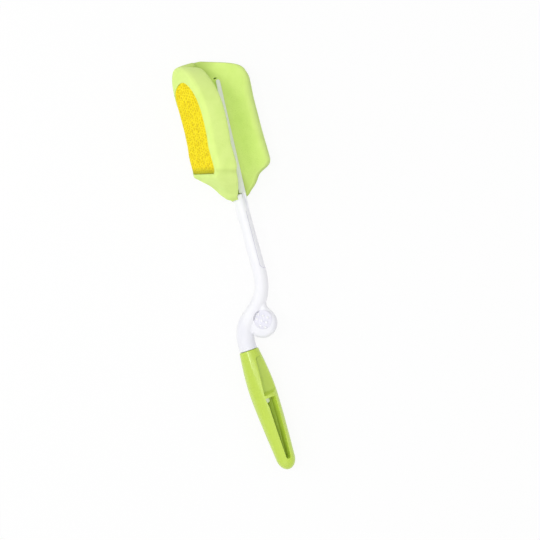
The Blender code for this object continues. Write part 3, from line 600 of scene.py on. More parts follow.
class Bench:
    """Where meshes are made, cut and joined, and from which finished pieces are handed over."""

    facets = 96
    smoothing = 0.5
    weld = 0.000001
    axis_weld = 0.000005
    bevel_angle = math.radians(40)

    def __init__(self, frame: Mapping[str, object], layout: Layout) -> None:
        """Finds the step from the maker's frame to the frame of the CAD.

        Args:
            layout: The shared places.
        """
        joint = next(joint for joint in frame["joints"] if joint["name"] == SPIN_JOINT)
        self.step = Vector(joint["pos_m"]) - layout.mouth()

    def place(self, name: str, data: bpy.types.ID) -> Object:
        """A new object in the scene.

        Args:
            name: Its name.
            data: Its mesh, curve, lamp or camera.

        Returns:
            The object.
        """
        made = bpy.data.objects.new(name, data)
        bpy.context.scene.collection.objects.link(made)
        return made

    def raw_mesh(self, name: str, builder: Builder) -> Object:
        """A new mesh object.

        Args:
            name: Its name.
            builder: Its faces, which are used up.

        Returns:
            The object.
        """
        data = bpy.data.meshes.new(name)
        builder.to_mesh(data)
        builder.free()
        return self.place(name, data)

    def mesh(self, name: str, builder: Builder) -> Object:
        """A new mesh object with its faces, which are used up, turned outward."""
        bmesh.ops.recalc_face_normals(builder, faces=builder.faces)
        return self.raw_mesh(name, builder)

    def settled(self, source: Object) -> Object:
        """The object with its modifiers or curve turned into plain mesh.

        Args:
            source: The object, which is used up.

        Returns:
            The plain mesh object, in the same place.
        """
        bpy.context.view_layer.update()
        graph = bpy.context.evaluated_depsgraph_get()
        data = bpy.data.meshes.new_from_object(source.evaluated_get(graph))
        builder = bmesh.new()
        builder.from_mesh(data)
        bmesh.ops.remove_doubles(builder, verts=builder.verts, dist=self.weld)
        builder.to_mesh(data)
        builder.free()
        name, matrix = source.name, source.matrix_world.copy()
        bpy.data.objects.remove(source)
        made = self.place(name, data)
        made.matrix_world = matrix
        return made

    def turned(self, name: str, profile: Sequence[Point]) -> Object:
        """A turned body about Z.

        Args:
            name: The object's name.
            profile: Radius and height pairs from its top to its bottom.

        Returns:
            The body.
        """
        builder = bmesh.new()
        points = [builder.verts.new((radius, 0.0, height)) for radius, height in profile]
        for upper, lower in zip(points, points[1:]):
            builder.edges.new((upper, lower))
        made = self.raw_mesh(name, builder)
        screw = made.modifiers.new("turn", "SCREW")
        screw.steps = screw.render_steps = self.facets
        screw.use_merge_vertices = True
        screw.merge_threshold = self.axis_weld
        return self.settled(made)

    def prism(self, name: str, outline: Sequence[Point], low: float, high: float) -> Object:
        """A flat outline in X and Y, filled and raised.

        Args:
            name: The object's name.
            outline: Its corners in order.
            low: The height of its underside.
            high: The height of its top.

        Returns:
            The solid.
        """
        curve = bpy.data.curves.new(name, "CURVE")
        curve.dimensions = "2D"
        curve.fill_mode = "BOTH"
        curve.extrude = 0.5 * (high - low)
        spline = curve.splines.new("POLY")
        spline.points.add(len(outline) - 1)
        for point, (x, y) in zip(spline.points, outline):
            point.co = (x, y, 0.0, 1.0)
        spline.use_cyclic_u = True
        made = self.place(name, curve)
        made.location.z = 0.5 * (low + high)
        return self.settled(made)

    def disc(self, name: str, radius: float, top: float, bottom: float) -> Object:
        """A plain cylinder about Z."""
        return self.turned(name, [(0.0, top), (radius, top), (radius, bottom), (0.0, bottom)])

    def skin(self, builder: Builder, rings: Sequence[Sequence[Corner]],
             capped: bool = True) -> None:
        """Joins rings of as many points each.

        Args:
            builder: The body's faces.
            rings: The rings in order.
            capped: Whether the first and last ring are filled.
        """
        count = len(rings[0])
        for low, high in zip(rings, rings[1:]):
            for index in range(count):
                after = (index + 1) % count
                builder.faces.new((low[index], low[after], high[after], high[index]))
        if capped:
            builder.faces.new(list(reversed(rings[0])))
            builder.faces.new(rings[-1])

    def rounded(self, target: Object, width: float, segments: int) -> Object:
        """The object with its sharp edges rounded.

        Args:
            target: The object, which is used up.
            width: The round's width.
            segments: How many facets the round has.

        Returns:
            The rounded object.
        """
        bevel = target.modifiers.new("round", "BEVEL")
        bevel.width = width
        bevel.segments = segments
        bevel.limit_method = "ANGLE"
        bevel.angle_limit = self.bevel_angle
        return self.settled(target)

    def combined(self, target: Object, tool: Object, operation: str) -> Object:
        """The object joined with, cut by or kept within a tool.

        Args:
            target: The object, which is used up.
            tool: The tool, which is used up.
            operation: UNION, DIFFERENCE or INTERSECT.

        Returns:
            The combined object.
        """
        boolean = target.modifiers.new("combine", "BOOLEAN")
        boolean.operation = operation
        boolean.solver = "EXACT"
        boolean.object = tool
        result = self.settled(target)
        bpy.data.objects.remove(tool)
        return result

    def melted(self, target: Object, voxel: float, passes: int) -> Object:
        """The object remeshed evenly and smoothed, so that its inner corners become fillets.

        Args:
            target: The object, which is used up.
            voxel: The new mesh's spacing.
            passes: How many times it is smoothed.

        Returns:
            The smooth object.
        """
        remesh = target.modifiers.new("even", "REMESH")
        remesh.mode = "VOXEL"
        remesh.voxel_size = voxel
        smooth = target.modifiers.new("smooth", "SMOOTH")
        smooth.factor = self.smoothing
        smooth.iterations = passes
        return self.settled(target)

    def gathered(self, name: str, parts: Iterable[Object]) -> Object:
        """Several objects as one mesh, each left whole.

        Args:
            name: The new object's name.
            parts: The objects, which are used up.

        Returns:
            The one object.
        """
        builder = bmesh.new()
        for part in parts:
            part.data.transform(part.matrix_world)
            builder.from_mesh(part.data)
            bpy.data.objects.remove(part)
        return self.raw_mesh(name, builder)

    def painted(self, target: Object, name: str, level: Callable[[Vector], float]) -> None:
        """Gives each vertex of an object a value that its finish reads.

        Args:
            target: The object.
            name: The value's name.
            level: The value at a place.
        """
        layer = target.data.attributes.new(name, "FLOAT", "POINT")
        matrix = target.matrix_world
        layer.data.foreach_set("value", [level(matrix @ vertex.co)
                                         for vertex in target.data.vertices])

    def hand_over(self, piece: Object, material: Material, body: Body, nodes: Sequence[str],
                  slot: str, crease: float = 35.0) -> Object:
        """Finishes a piece: its place, shading, material, body and the nodes it stands for.

        Args:
            piece: The object in the maker's frame.
            material: Its material.
            body: The body that it rides on.
            nodes: The CAD nodes that it replaces.
            slot: The record's material slot; not used.
            crease: The least angle of an edge that stays sharp, in degrees.

        Returns:
            The finished piece.
        """
        piece.data.transform(Matrix.Translation(self.step) @ piece.matrix_world)
        piece.matrix_world = Matrix.Identity(4)
        piece.data.materials.clear()
        piece.data.materials.append(material)
        piece.data.shade_smooth()
        piece.data.set_sharp_from_angle(angle=math.radians(crease))
        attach(piece, body.value)
        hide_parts(*nodes)
        LOG.info("%s: %d faces on %s", piece.name, len(piece.data.polygons), body.value)
        return piece


@dataclass
class Maker:
    """A maker of pieces: the bench it works at and the places that all pieces share."""

    bench: Bench
    layout: Layout

    def bar(self, name: str, outline: Sequence[Point], half: float) -> Object:
        """An outline raised as far above the rod's axis as below it."""
        height = self.layout.rod_height
        return self.bench.prism(name, outline, height - half, height + half)

    def shank_matrix(self, y: float) -> Matrix:
        """A frame on the shank's axis at y, with Z along the shank."""
        place = Matrix.Translation((0.0, y, self.layout.rod_height))
        return place @ Matrix.Rotation(0.5 * math.pi, 4, "X")


class Station(NamedTuple):
    """One place along the foam head where its fold is set."""

    y: float
    left: float
    right: float
    thickness: float
    inner: float
    angle: float
    flap: float
    tilt: float


class Section(NamedTuple):
    """The folded sheet's cross-section at one y."""

    y: float
    centre_x: float
    inner: float
    thickness: float
    angle: float
    flap: float
    back: float
    tilt: float

    @property
    def outer(self) -> float:
        """The fold's outer radius."""
        return self.inner + self.thickness

    @property
    def fold_run(self) -> float:
        """The length of the outer face round the fold."""
        return self.outer * (math.pi - self.angle)


class Glide:
    """A smooth run through stations that keeps between its neighbours' values."""

    def __init__(self, stations: Sequence[Station]) -> None:
        """Works out the slope of each value at each station.

        Args:
            stations: The stations in order.
        """
        self.stations = stations
        spans = [[(after - before) / (high.y - low.y) for before, after in zip(low, high)]
                 for low, high in zip(stations, stations[1:])]
        inner = [[self.shared(first, second) for first, second in zip(before, after)]
                 for before, after in zip(spans, spans[1:])]
        self.slopes = [spans[0], *inner, spans[-1]]

    def shared(self, first: float, second: float) -> float:
        """The slope where two spans meet: their harmonic mean, or 0 where they turn.

        Args:
            first: The first span's slope.
            second: The second span's slope.

        Returns:
            The shared slope.
        """
        if first * second <= 0.0:
            return 0.0
        return 2.0 * first * second / (first + second)

    def at(self, y: float) -> Station:
        """The station at any y.

        Args:
            y: The place along the head.

        Returns:
            The values there, or those of the nearest end.
        """
        upper = 1
        while upper < len(self.stations) - 1 and y > self.stations[upper].y:
            upper += 1
        low, high = self.stations[upper - 1], self.stations[upper]
        span = high.y - low.y
        share = clamped((y - low.y) / span)
        rise = smooth(share)
        leave = share * (1.0 - share) ** 2 * span
        arrive = share * share * (share - 1.0) * span
        return Station(*(between(a, b, rise) + leave * first + arrive * second
                         for a, b, first, second in zip(low, high, self.slopes[upper - 1],
                                                        self.slopes[upper])))


@dataclass
class FoamSheet:
    """The sponge's sheet of foam, folded like an opened book and pinched round the neck."""

    layout: Layout
    thickness: float = 0.018
    fold_radius: float = 0.002
    flap_angle: float = math.radians(63.5)
    flap_length: float = 0.042
    arch_start: float = 0.073
    arch_height: float = 0.0415
    arch_least: float = 0.05
    cut_lean: float = 0.0016
    knee_from_axis: float = 0.0095
    knee_radius: float = 0.048
    slab_tilt: float = math.radians(14.0)
    neck_wrap: float = 0.0040
    neck_lip: float = 0.0006
    neck_bite: float = 0.0004
    edge_round: float = 0.0042
    end_round: float = 0.0022
    neck_round: float = 0.0005
    row_spacing: float = 0.0008
    least_reach: float = 0.0003
    least_edge: float = 0.0004
    edge_in_depth: float = 0.45
    edge_in_reach: float = 0.9
    edge_steps: int = 6
    flap_steps: int = 24
    fold_steps: int = 28
    back_steps: int = 30

    def stations(self) -> list[Station]:
        """The head from the neck up: pinched neck, tongue, shoulders, body and arched top.

        Returns:
            The stations in order.
        """
        bore = self.layout.shank_radius + self.layout.gap
        inner, wrap, lip = bore - self.neck_bite, self.neck_wrap, self.neck_lip
        full, fold = self.thickness, self.fold_radius
        neck = [(y, -bore - thick, right, (thick + self.neck_bite) / full, inner, angle, part, 0.0)
                for y, thick, right, angle, part in (
                    (0.0040, lip, 0.0020, 30, 0.05),
                    (0.0050, 0.3 * wrap, 0.0055, 30, 0.05),
                    (0.0066, 0.95 * wrap, 0.0085, 34, 0.08))]
        shoulders = [
            (0.0090, -0.0114, 0.0108, 0.40, 0.0048, 56, 0.22, 0.0),
            (0.0120, -0.0138, 0.0143, 0.58, 0.0042, 69.5, 0.40, 0.0),
            (0.0160, -0.0162, 0.0178, 0.74, 0.0035, 75.1, 0.60, 0.0),
            (0.0200, -0.0190, 0.0206, 0.88, 0.0029, 76.8, 0.78, 0.0),
            (0.0225, -0.0214, 0.0242, 0.94, 0.0025, 75.6, 0.87, 0.1),
            (0.0245, -0.0237, 0.0286, 0.97, 0.0022, 73.0, 0.93, 0.2),
            (0.0270, -0.0263, 0.0318, 0.99, fold, 68.5, 0.97, 0.35),
        ]
        lean = math.degrees(self.flap_angle)
        body = [(y, left, right, 1.0, fold, lean, 1.0, share) for y, left, right, share in (
            (0.0310, -0.0299, 0.0331, 0.55), (0.0440, -0.0299, 0.0332, 0.80),
            (0.0550, -0.0287, 0.0333, 1.0), (0.0680, -0.0279, 0.0335, 1.0),
            (0.0800, -0.0277, 0.0337, 0.95), (0.0960, -0.0276, 0.0345, 0.55),
            (0.1030, -0.0271, 0.0330, 0.30), (0.1070, -0.0264, 0.0300, 0.20),
            (0.1100, -0.0257, 0.0250, 0.15), (0.1130, -0.0246, 0.0172, 0.1))]
        top = [
            (0.1149, -0.0236, 0.0110, 1.0, fold, 68, 1.0, 0.0),
            (0.1168, -0.0212, 0.0050, 0.86, fold, 78, 1.0, 0.0),
            (0.1185, -0.0165, 0.0014, 0.62, fold, 95, 1.0, 0.0),
        ]
        return [Station(y, left, right, thick * full, inner, math.radians(angle),
                        part * self.flap_length, share * self.slab_tilt)
                for y, left, right, thick, inner, angle, part, share
                in neck + shoulders + body + top]

    @cached_property
    def glide(self) -> Glide:
        """The smooth run through the stations."""
        return Glide(self.stations())

    def section(self, y: float) -> Section:
        """The folded section at y.

        Args:
            y: The place along the head.

        Returns:
            The section there.
        """
        mixed = self.glide.at(y)
        centre_x = mixed.left + mixed.inner + mixed.thickness
        return Section(y, centre_x, mixed.inner, mixed.thickness, mixed.angle,
                       self.arched(y, mixed.flap), self.back_run(mixed, centre_x), mixed.tilt)

    def arched(self, y: float, length: float) -> float:
        """The flap's length at y, which falls away in the arch at its top.

        Args:
            y: The place along the head.
            length: The flap's length without the arch.

        Returns:
            The length there.
        """
        rise = (y - self.arch_start) / self.arch_height
        if rise <= 0.0:
            return length
        return length * math.sqrt(max(1.0 - rise * rise, self.arch_least ** 2))

    def leaned(self, y: float, run: float, share: float) -> float:
        """A run along the flap, where the arch's cut leans in from the outer face.

        Args:
            y: The place along the head.
            run: The run at half the sheet's depth.
            share: The share of the depth.

        Returns:
            The run at that depth.
        """
        lean = self.cut_lean * (2.0 * share - 1.0)
        return run * self.arched(y + lean, 1.0) / self.arched(y, 1.0)

    def back_run(self, station: Station, centre_x: float) -> float:
        """The lower half's length along its outer face.

        Args:
            station: The section's sizes.
            centre_x: Where the fold's centre lies.

        Returns:
            The length from the fold to the right-hand edge.
        """
        knee = max(self.knee_from_axis - centre_x, 0.0)
        reach = station.right - centre_x
        past = reach - knee
        if past <= 0.0 or station.tilt <= 0.0:
            return reach
        curl = self.knee_radius * math.sin(station.tilt)
        if past <= curl:
            return knee + self.knee_radius * math.asin(past / self.knee_radius)
        return knee + self.knee_radius * station.tilt + (past - curl) / math.cos(station.tilt)

    def point(self, section: Section, run: float, depth: float) -> Vector:
        """A point of the folded sheet.

        Args:
            section: The section that it lies in.
            run: Its place along the outer face, up the flap from the fold, and below 0
                round the fold and on along the lower half.
            depth: How far it lies under the outer face.

        Returns:
            The point.
        """
        outer, fold_run = section.outer, section.fold_run
        if run >= 0.0:
            along = Vector((math.cos(section.angle), math.sin(section.angle)))
            spot = Vector((-along.y, along.x)) * (outer - depth) + along * run
        elif run >= -fold_run:
            turn = 0.5 * math.pi + section.angle - run / outer
            spot = Vector((math.cos(turn), math.sin(turn))) * (outer - depth)
        else:
            spot = self.slab_point(section, -run - fold_run, depth)
        return Vector((section.centre_x + spot.x, section.y, self.layout.rod_height + spot.y))

    def slab_point(self, section: Section, run: float, depth: float) -> Vector:
        """A point of the lower half, which is flat and then curls up.

        Args:
            section: The section that it lies in.
            run: Its place along the outer face from below the fold.
            depth: How far it lies inside the outer face.

        Returns:
            The point from the fold's centre.
        """
        knee = max(self.knee_from_axis - section.centre_x, 0.0)
        if run <= knee or section.tilt <= 0.0:
            return Vector((run, depth - section.outer))
        turn = min((run - knee) / self.knee_radius, section.tilt)
        radius = self.knee_radius - depth
        spot = Vector((knee + radius * math.sin(turn),
                       self.knee_radius - section.outer - radius * math.cos(turn)))
        straight = run - knee - self.knee_radius * turn
        return spot + Vector((math.cos(turn), math.sin(turn))) * straight

    def cut_edge(self, reach: float, low: float, high: float) -> list[Point]:
        """Run and depth pairs round a cut edge, from the outer face to the inner.

        Args:
            reach: How far the edge lies along the face.
            low: The depth of the outer face.
            high: The depth of the inner face.

        Returns:
            The pairs.
        """
        radius = self.edge_radius(reach, low, high)
        turns = [math.radians(turn) for turn in spaced(90.0, 0.0, self.edge_steps)]
        near = [(reach - radius * (1.0 - math.cos(turn)), low + radius * (1.0 - math.sin(turn)))
                for turn in turns]
        depths = spaced(near[-1][1], low + high - near[-1][1], self.edge_steps)
        middle = [(reach, depth) for depth in depths[1:-1]]
        return near + middle + [(run, low + high - depth) for run, depth in reversed(near)]

    def edge_radius(self, reach: float, low: float, high: float) -> float:
        """The radius that a cut edge of this reach and thickness has room for."""
        return min(self.edge_round, self.edge_in_depth * (high - low),
                   self.edge_in_reach * max(reach, self.least_edge))

    def outline(self, y: float, inset: float) -> list[Vector]:
        """The closed outline of the folded sheet at y, drawn in all round by an inset.

        Args:
            y: The place along the head.
            inset: How far it is drawn in.

        Returns:
            The outline's points.
        """
        section = self.section(y)
        fold_run = section.fold_run
        low, high = inset, section.thickness - inset
        flap_end = max(section.flap - inset, self.least_reach)
        back_end = max(section.back - inset, self.least_reach)
        flap_inside = flap_end - self.edge_radius(flap_end, low, high)
        back_inside = back_end - self.edge_radius(back_end, low, high)
        flap_runs = [flap_inside * (1.0 - step / self.flap_steps)
                     for step in range(1, self.flap_steps)]
        runs = [-fold_run * step / self.fold_steps for step in range(self.fold_steps + 1)]
        runs += [-fold_run - back_inside * step / self.back_steps
                 for step in range(1, self.back_steps)]
        ring = [self.point(section, self.leaned(y, run, depth / section.thickness), depth)
                for run, depth in self.cut_edge(flap_end, low, high)]
        ring += [self.point(section, self.leaned(y, run, 1.0), high) for run in flap_runs]
        ring += [self.point(section, run, high) for run in runs]
        edge = self.cut_edge(back_end, low, high)
        ring += [self.point(section, -fold_run - run, depth) for run, depth in reversed(edge)]
        ring += [self.point(section, run, low) for run in reversed(runs)]
        ring += [self.point(section, self.leaned(y, run, 0.0), low)
                 for run in reversed(flap_runs)]
        return ring

    def rows(self) -> list[Point]:
        """The y and inset of each outline of the head, with rounded ends.

        Returns:
            The pairs from the neck up.
        """
        low, high = self.stations()[0].y, self.stations()[-1].y
        turns = [math.radians(15.0 * step) for step in range(6)]
        made = [(low + self.neck_round * (1.0 - math.cos(turn)),
                 self.neck_round * (1.0 - math.sin(turn))) for turn in turns]
        start, end = low + self.neck_round, high - self.end_round
        made += [(y, 0.0) for y in spaced(start, end, round((end - start) / self.row_spacing))]
        made += [(high - self.end_round * (1.0 - math.cos(turn)),
                  self.end_round * (1.0 - math.sin(turn))) for turn in reversed(turns)]
        return made


@dataclass(frozen=True)
class PadShape:
    """A scrubbing pad's outline on its face of the foam."""

    width: float
    centre: float
    low: float
    slant: float


@dataclass
class ScrubPad(Maker):
    """A knitted scrubbing pad, let into one outer face of the foam."""

    sheet: FoamSheet
    side: Side
    node: str
    shape: PadShape
    thickness: float = 0.0030
    sink: float = 0.0003
    fit: float = 0.00005
    top: float = 0.102
    arch: float = 0.030
    corner: float = 0.006
    roll: float = 0.0008
    # How far up from the lower edge the painted shade reaches.
    edge_shade: float = 0.0060
    knit_spacing: float = 0.00042
    stitch_pitch: float = 0.0021
    stitch_stretch: float = 1.7
    stitch_depth: float = 0.00040
    hole_size: Point = (0.40, 0.30)
    spread: float = 7.3
    row_drift: Triple = (31.0, 17.0, 5.0)
    size_drift: Triple = (9.0, 4.0, 2.0)
    end_spacing: float = 1.35
    pocket_outside: float = 0.003
    pocket_spacing: float = 0.0024
    pocket_columns: int = 24

    def build(self, skin: Material) -> None:
        """Makes the pad.

        Args:
            skin: Its material.
        """
        pad = self.bench.hand_over(self.piece(), skin, Body.BRUSH, [self.node],
                                   "yellow_mesh", 50.0)

    def half_width(self, y: float, grow: float) -> float:
        """Half the pad's width: round lower corners, straight sides and an arched top.

        Args:
            y: The place along the pad.
            grow: How much the outline is grown.

        Returns:
            Half its width there.
        """
        half = 0.5 * self.shape.width
        arch, corner = self.top - self.arch, self.shape.low + self.corner
        if y > arch:
            rise = (y - arch) / (self.arch + grow)
            return (half + grow) * math.sqrt(max(1.0 - rise * rise, 0.0))
        if y < corner:
            drop = min((corner - y) / (self.corner + grow), 1.0)
            return half - self.corner + (self.corner + grow) * math.sqrt(1.0 - drop * drop)
        return half + grow

    def rows(self, grow: float, spacing: float) -> list[float]:
        """The y of each row of the pad, closer at its rounded ends.

        Args:
            grow: How much the outline is grown.
            spacing: The step between the straight part's rows.

        Returns:
            The places from the lower end up.
        """
        arch, corner = self.top - self.arch, self.shape.low + self.corner
        rise = round(self.end_spacing * self.arch / spacing)
        low = [corner - (self.corner + grow) * math.sin(math.radians(84.0 - 6.0 * step))
               for step in range(14)]
        top = [arch + (self.arch + grow) * math.sin(math.radians(87.0 * step / rise))
               for step in range(1, rise + 1)]
        return low + spaced(corner, arch, round((arch - corner) / spacing)) + top

    def face_point(self, across: float, y: float, depth: float) -> Vector:
        """A point on or under the foam's outer face.

        Args:
            across: The place across the pad.
            y: The place along it.
            depth: How far under the face.

        Returns:
            The point.
        """
        fade = max((self.top - y) / (self.top - self.shape.low), 0.0)
        section = self.sheet.section(y - self.shape.slant * fade * across)
        run = self.shape.centre + across
        if self.side is Side.BACK:
            run = -section.fold_run - run
        return self.sheet.point(section, run, depth)

    def pocket(self) -> Object:
        """The tool that cuts the pad's pocket: a slab that follows the foam's outer face.

        Returns:
            The tool.
        """
        floor = self.sink + self.thickness + self.fit
        builder = bmesh.new()
        rings = []
        for y in self.rows(self.fit, self.pocket_spacing):
            half = self.half_width(y, self.fit)
            steps = spaced(-half, half, self.pocket_columns)
            ring = [self.face_point(across, y, -self.pocket_outside) for across in steps]
            ring += [self.face_point(across, y, floor) for across in reversed(steps)]
            rings.append([builder.verts.new(point) for point in ring])
        self.bench.skin(builder, rings)
        return self.bench.mesh("pocket", builder)

    def stitch(self, across: float, y: float) -> float:
        """How deep the netting's hole is at a place, from 0 between holes to 1 in one.

        Args:
            across: The place across the pad.
            y: The place along it.

        Returns:
            The depth's share.
        """
        column = across / (self.stitch_pitch * self.stitch_stretch)
        row = y / self.stitch_pitch
        middle, change = self.hole_size
        deepest = 0.0
        for near in (math.floor(column), math.floor(column) + 1):
            for level in (math.floor(row) - 1, math.floor(row), math.floor(row) + 1):
                spot = Vector((near, level + 0.5 * (near % 2), 0.5)) * self.spread
                shift_x = noise.noise(spot)
                shift_y = noise.noise(spot + Vector(self.row_drift))
                size = middle + change * noise.noise(spot + Vector(self.size_drift))
                away = math.hypot(column - near + 0.5 * shift_x,
                                  row - level - 0.5 * (near % 2) + 0.5 * shift_y)
                deepest = max(deepest, 1.0 - (away / size) ** 2)
        return deepest

    def piece(self) -> Object:
        """The pad with its knitted face and rolled edge.

        Returns:
            The pad.
        """
        low, back = self.shape.low, self.sink + self.thickness
        columns = round(self.shape.width / self.knit_spacing)
        builder = bmesh.new()
        layer = builder.verts.layers.float.new("stitch")
        # Painted shade along the pad's lower edge.
        edge_shade = builder.verts.layers.float.new("edge_shade")
        rings = []
        for y in self.rows(0.0, self.knit_spacing):
            half = self.half_width(y, 0.0)
            steps = spaced(-half, half, columns)
            ring = []
            for across in steps:
                drop = self.roll - max(min(half - abs(across), y - low, self.roll), 0.0)
                roll = self.roll - math.sqrt(max(self.roll ** 2 - drop ** 2, 0.0))
                hole = self.stitch(across, y)
                depth = self.sink + roll + self.stitch_depth * hole
                vertex = builder.verts.new(self.face_point(across, y, depth))
                vertex[layer] = hole
                vertex[edge_shade] = max(1.0 - (y - low) / self.edge_shade, 0.0)
                ring.append(vertex)
            ring += [builder.verts.new(self.face_point(across, y, back))
                     for across in reversed(steps)]
            rings.append(ring)
        self.bench.skin(builder, rings)
        return self.bench.mesh(f"netting_pad_{self.side.name.lower()}", builder)


@dataclass
class SpongeHead(Maker):
    """The folded foam and the two scrubbing pads let into its outer faces."""

    clip: "SpongeClip"
    sheet: FoamSheet
    front: PadShape = PadShape(0.050, 0.0110, 0.0296, 0.19)
    back: PadShape = PadShape(0.044, 0.0142, 0.0314, 0.0)
    swell: float = 0.00010
    swell_size: float = 0.0070
    spike: tuple[float, float, float, float] = (-0.0021, 0.0042, 0.0026, 0.090)
    slit_length: float = 0.0026
    slit_width: float = 0.0013
    slit_depth: float = 0.0060
    slit_past_tip: float = 0.0020
    slit_above: float = 0.004
    neck_reach: float = 0.01
    spike_sink: float = 0.0031
    # Sizes and strengths of the painted shade in the fold's valley, behind the arch, along the
    # tongue's crease and at the right edge.
    valley_size: float = 0.0095
    valley_start: float = 0.0025
    arch_shade: Point = (0.092, 0.112)
    arch_valley_size: float = 0.0165
    valley_shade_level: Point = (0.38, 0.45)
    crease: Triple = (0.0243, 0.0018, 0.034)
    crease_slope: float = 0.27
    crease_left: float = -0.011
    crease_shade_level: float = 0.20
    brink: float = 0.0030
    brink_shade_level: float = 0.50
    # How far the painted light on the flap's cut edge reaches.
    cut_light_reach: float = 0.0040
    # The foam's painted shade is olive, and its cut edge is painted paler as painted light.
    foam: FoamFinish = FoamFinish(
        "lime_foam", colour=from_screen(228, 253, 144), deep_colour=from_screen(202, 236, 110),
        shade_colour=from_screen(146, 172, 70), cut_edge_light_colour=from_screen(232, 255, 150))
    # The netting's lower edge is painted with shade in olive yellow.
    netting: NettingFinish = NettingFinish(
        "yellow_netting", colour=from_screen(255, 236, 20), hole_colour=from_screen(212, 178, 0),
        edge_shade_colour=from_screen(168, 170, 30))

    def build(self) -> None:
        """Makes the foam and both pads."""
        foam_skin = self.foam.material()
        netting_skin = self.netting.material()
        foam = self.bench.hand_over(self.foam_piece(), foam_skin, Body.BRUSH,
                                    ["foam_sponge"], "lime_foam", 50.0)
        for pad in self.pads:
            pad.build(netting_skin)

    @cached_property
    def pads(self) -> tuple[ScrubPad, ScrubPad]:
        """The pads on the upper and the lower face.

        Returns:
            Both pads.
        """
        made = (self.bench, self.layout, self.sheet)
        return (ScrubPad(*made, Side.FRONT, "scrub_pad_front", self.front),
                ScrubPad(*made, Side.BACK, "scrub_pad_back", self.back))

    def foam_piece(self) -> Object:
        """The folded foam with its pockets and channels.

        Returns:
            The foam.
        """
        builder = bmesh.new()
        rings = [[builder.verts.new(point) for point in self.sheet.outline(y, inset)]
                 for y, inset in self.sheet.rows()]
        self.bench.skin(builder, rings, capped=False)
        self.close_end(builder, rings[0])
        self.close_end(builder, rings[-1])
        bmesh.ops.recalc_face_normals(builder, faces=builder.faces)
        builder.normal_update()
        for vertex in builder.verts:
            wave = noise.noise(vertex.co / self.swell_size)
            vertex.co += vertex.normal * self.swell * wave
        foam = self.bench.mesh("sponge_foam", builder)
        for pad in self.pads:
            foam = self.bench.combined(foam, pad.pocket(), "DIFFERENCE")
        for tool in self.channels():
            foam = self.bench.combined(foam, tool, "DIFFERENCE")
        # Painted shade on the foam, and painted light on the flap's cut edge.
        self.bench.painted(foam, "shade", self.shade)
        self.bench.painted(foam, "cut", self.cut)
        return foam

    def shade(self, place: Vector) -> float:
        """The painted shade on the foam: in the fold, the arch's cast shadow, the tongue's crease
        and the right edge that turns away.

        Args:
            place: A place on the foam.

        Returns:
            The share of the shade's colour.
        """
        section = self.sheet.section(place.y)
        rise = place.z - self.layout.rod_height
        away = math.hypot(place.x - section.centre_x, rise) - self.valley_start
        low, high = self.arch_shade
        upper = clamped((place.y - low) / (high - low))
        size = between(self.valley_size, self.arch_valley_size, upper)
        near = max(1.0 - max(away, 0.0) / size, 0.0)
        middle, width, height = self.crease
        off = place.y - middle + self.crease_slope * place.x
        on_tongue = place.z > height and place.x > self.crease_left
        fold = math.exp(-(off / width) ** 2) if on_tongue else 0.0
        right = self.sheet.glide.at(place.y).right
        brink = clamped((place.x - right) / self.brink + 1.0)
        return (between(*self.valley_shade_level, upper) * smooth(near)
                + self.crease_shade_level * fold + self.brink_shade_level * brink)

    def cut(self, place: Vector) -> float:
        """How much painted light, as a paler colour, a place on the flap's cut edge takes, from 0
        to 1.

        Args:
            place: A place on the foam.

        Returns:
            The share of the paler colour painted as light.
        """
        section = self.sheet.section(place.y)
        along = ((place.x - section.centre_x) * math.cos(section.angle)
                 + (place.z - self.layout.rod_height) * math.sin(section.angle))
        return clamped((along - section.flap) / self.cut_light_reach + 1.0)

    def close_end(self, builder: Builder, ring: Sequence[Corner]) -> None:
        """Closes an end of the foam with strips from its outer face to its inner.

        Args:
            builder: The foam's faces.
            ring: The end's outline.
        """
        count = len(ring)
        edge = len(self.sheet.cut_edge(self.sheet.thickness, 0.0, self.sheet.thickness))
        for index in range(edge // 2, edge // 2 + count // 2):
            mates = (index, index + 1, edge - 2 - index, edge - 1 - index)
            corners = list(dict.fromkeys(ring[mate % count] for mate in mates))
            builder.faces.new(corners)

    def channels(self) -> list[Object]:
        """The tools that cut the neck, the spike's and prong's channels and the tip's slit.

        Returns:
            The tools.
        """
        layout, clip, reach = self.layout, self.clip, self.neck_reach
        neck = self.bench.disc("neck", layout.shank_radius + layout.gap, reach, -reach)
        neck.matrix_world = self.shank_matrix(layout.shank_top + layout.gap - reach)
        half = 0.5 * clip.thickness + layout.gap
        tools = [neck, self.bar("spike_channel", self.spike_outline(layout.gap), half),
                 self.bar("prong_channel", clip.prong_outline(layout.gap), half)]
        tip = clip.tip_x() - 0.5 * clip.tip_width
        slit = [(tip + x, clip.tip_y + self.slit_past_tip + y * self.slit_width / self.slit_length)
                for x, y in arc((0.0, 0.0), 0.5 * self.slit_length, 0, 345, 23)]
        top = layout.rod_height - self.sheet.fold_radius
        tools.append(self.bench.prism("slit", slit, top - self.slit_depth, top + self.slit_above))
        return tools

    def spike_outline(self, grow: float) -> list[Point]:
        """The hidden spike's tapering outline with a round tip.

        Args:
            grow: How much the outline is grown.

        Returns:
            The outline.
        """
        centre, root_width, tip_width, tip_y = self.spike
        root, tip = 0.5 * root_width + grow, 0.5 * tip_width + grow
        foot = self.layout.shank_top - self.spike_sink - grow
        return ([(centre - root, foot), (centre + root, foot)]
                + arc((centre, tip_y - 0.5 * tip_width), tip, 0, 180, 16))


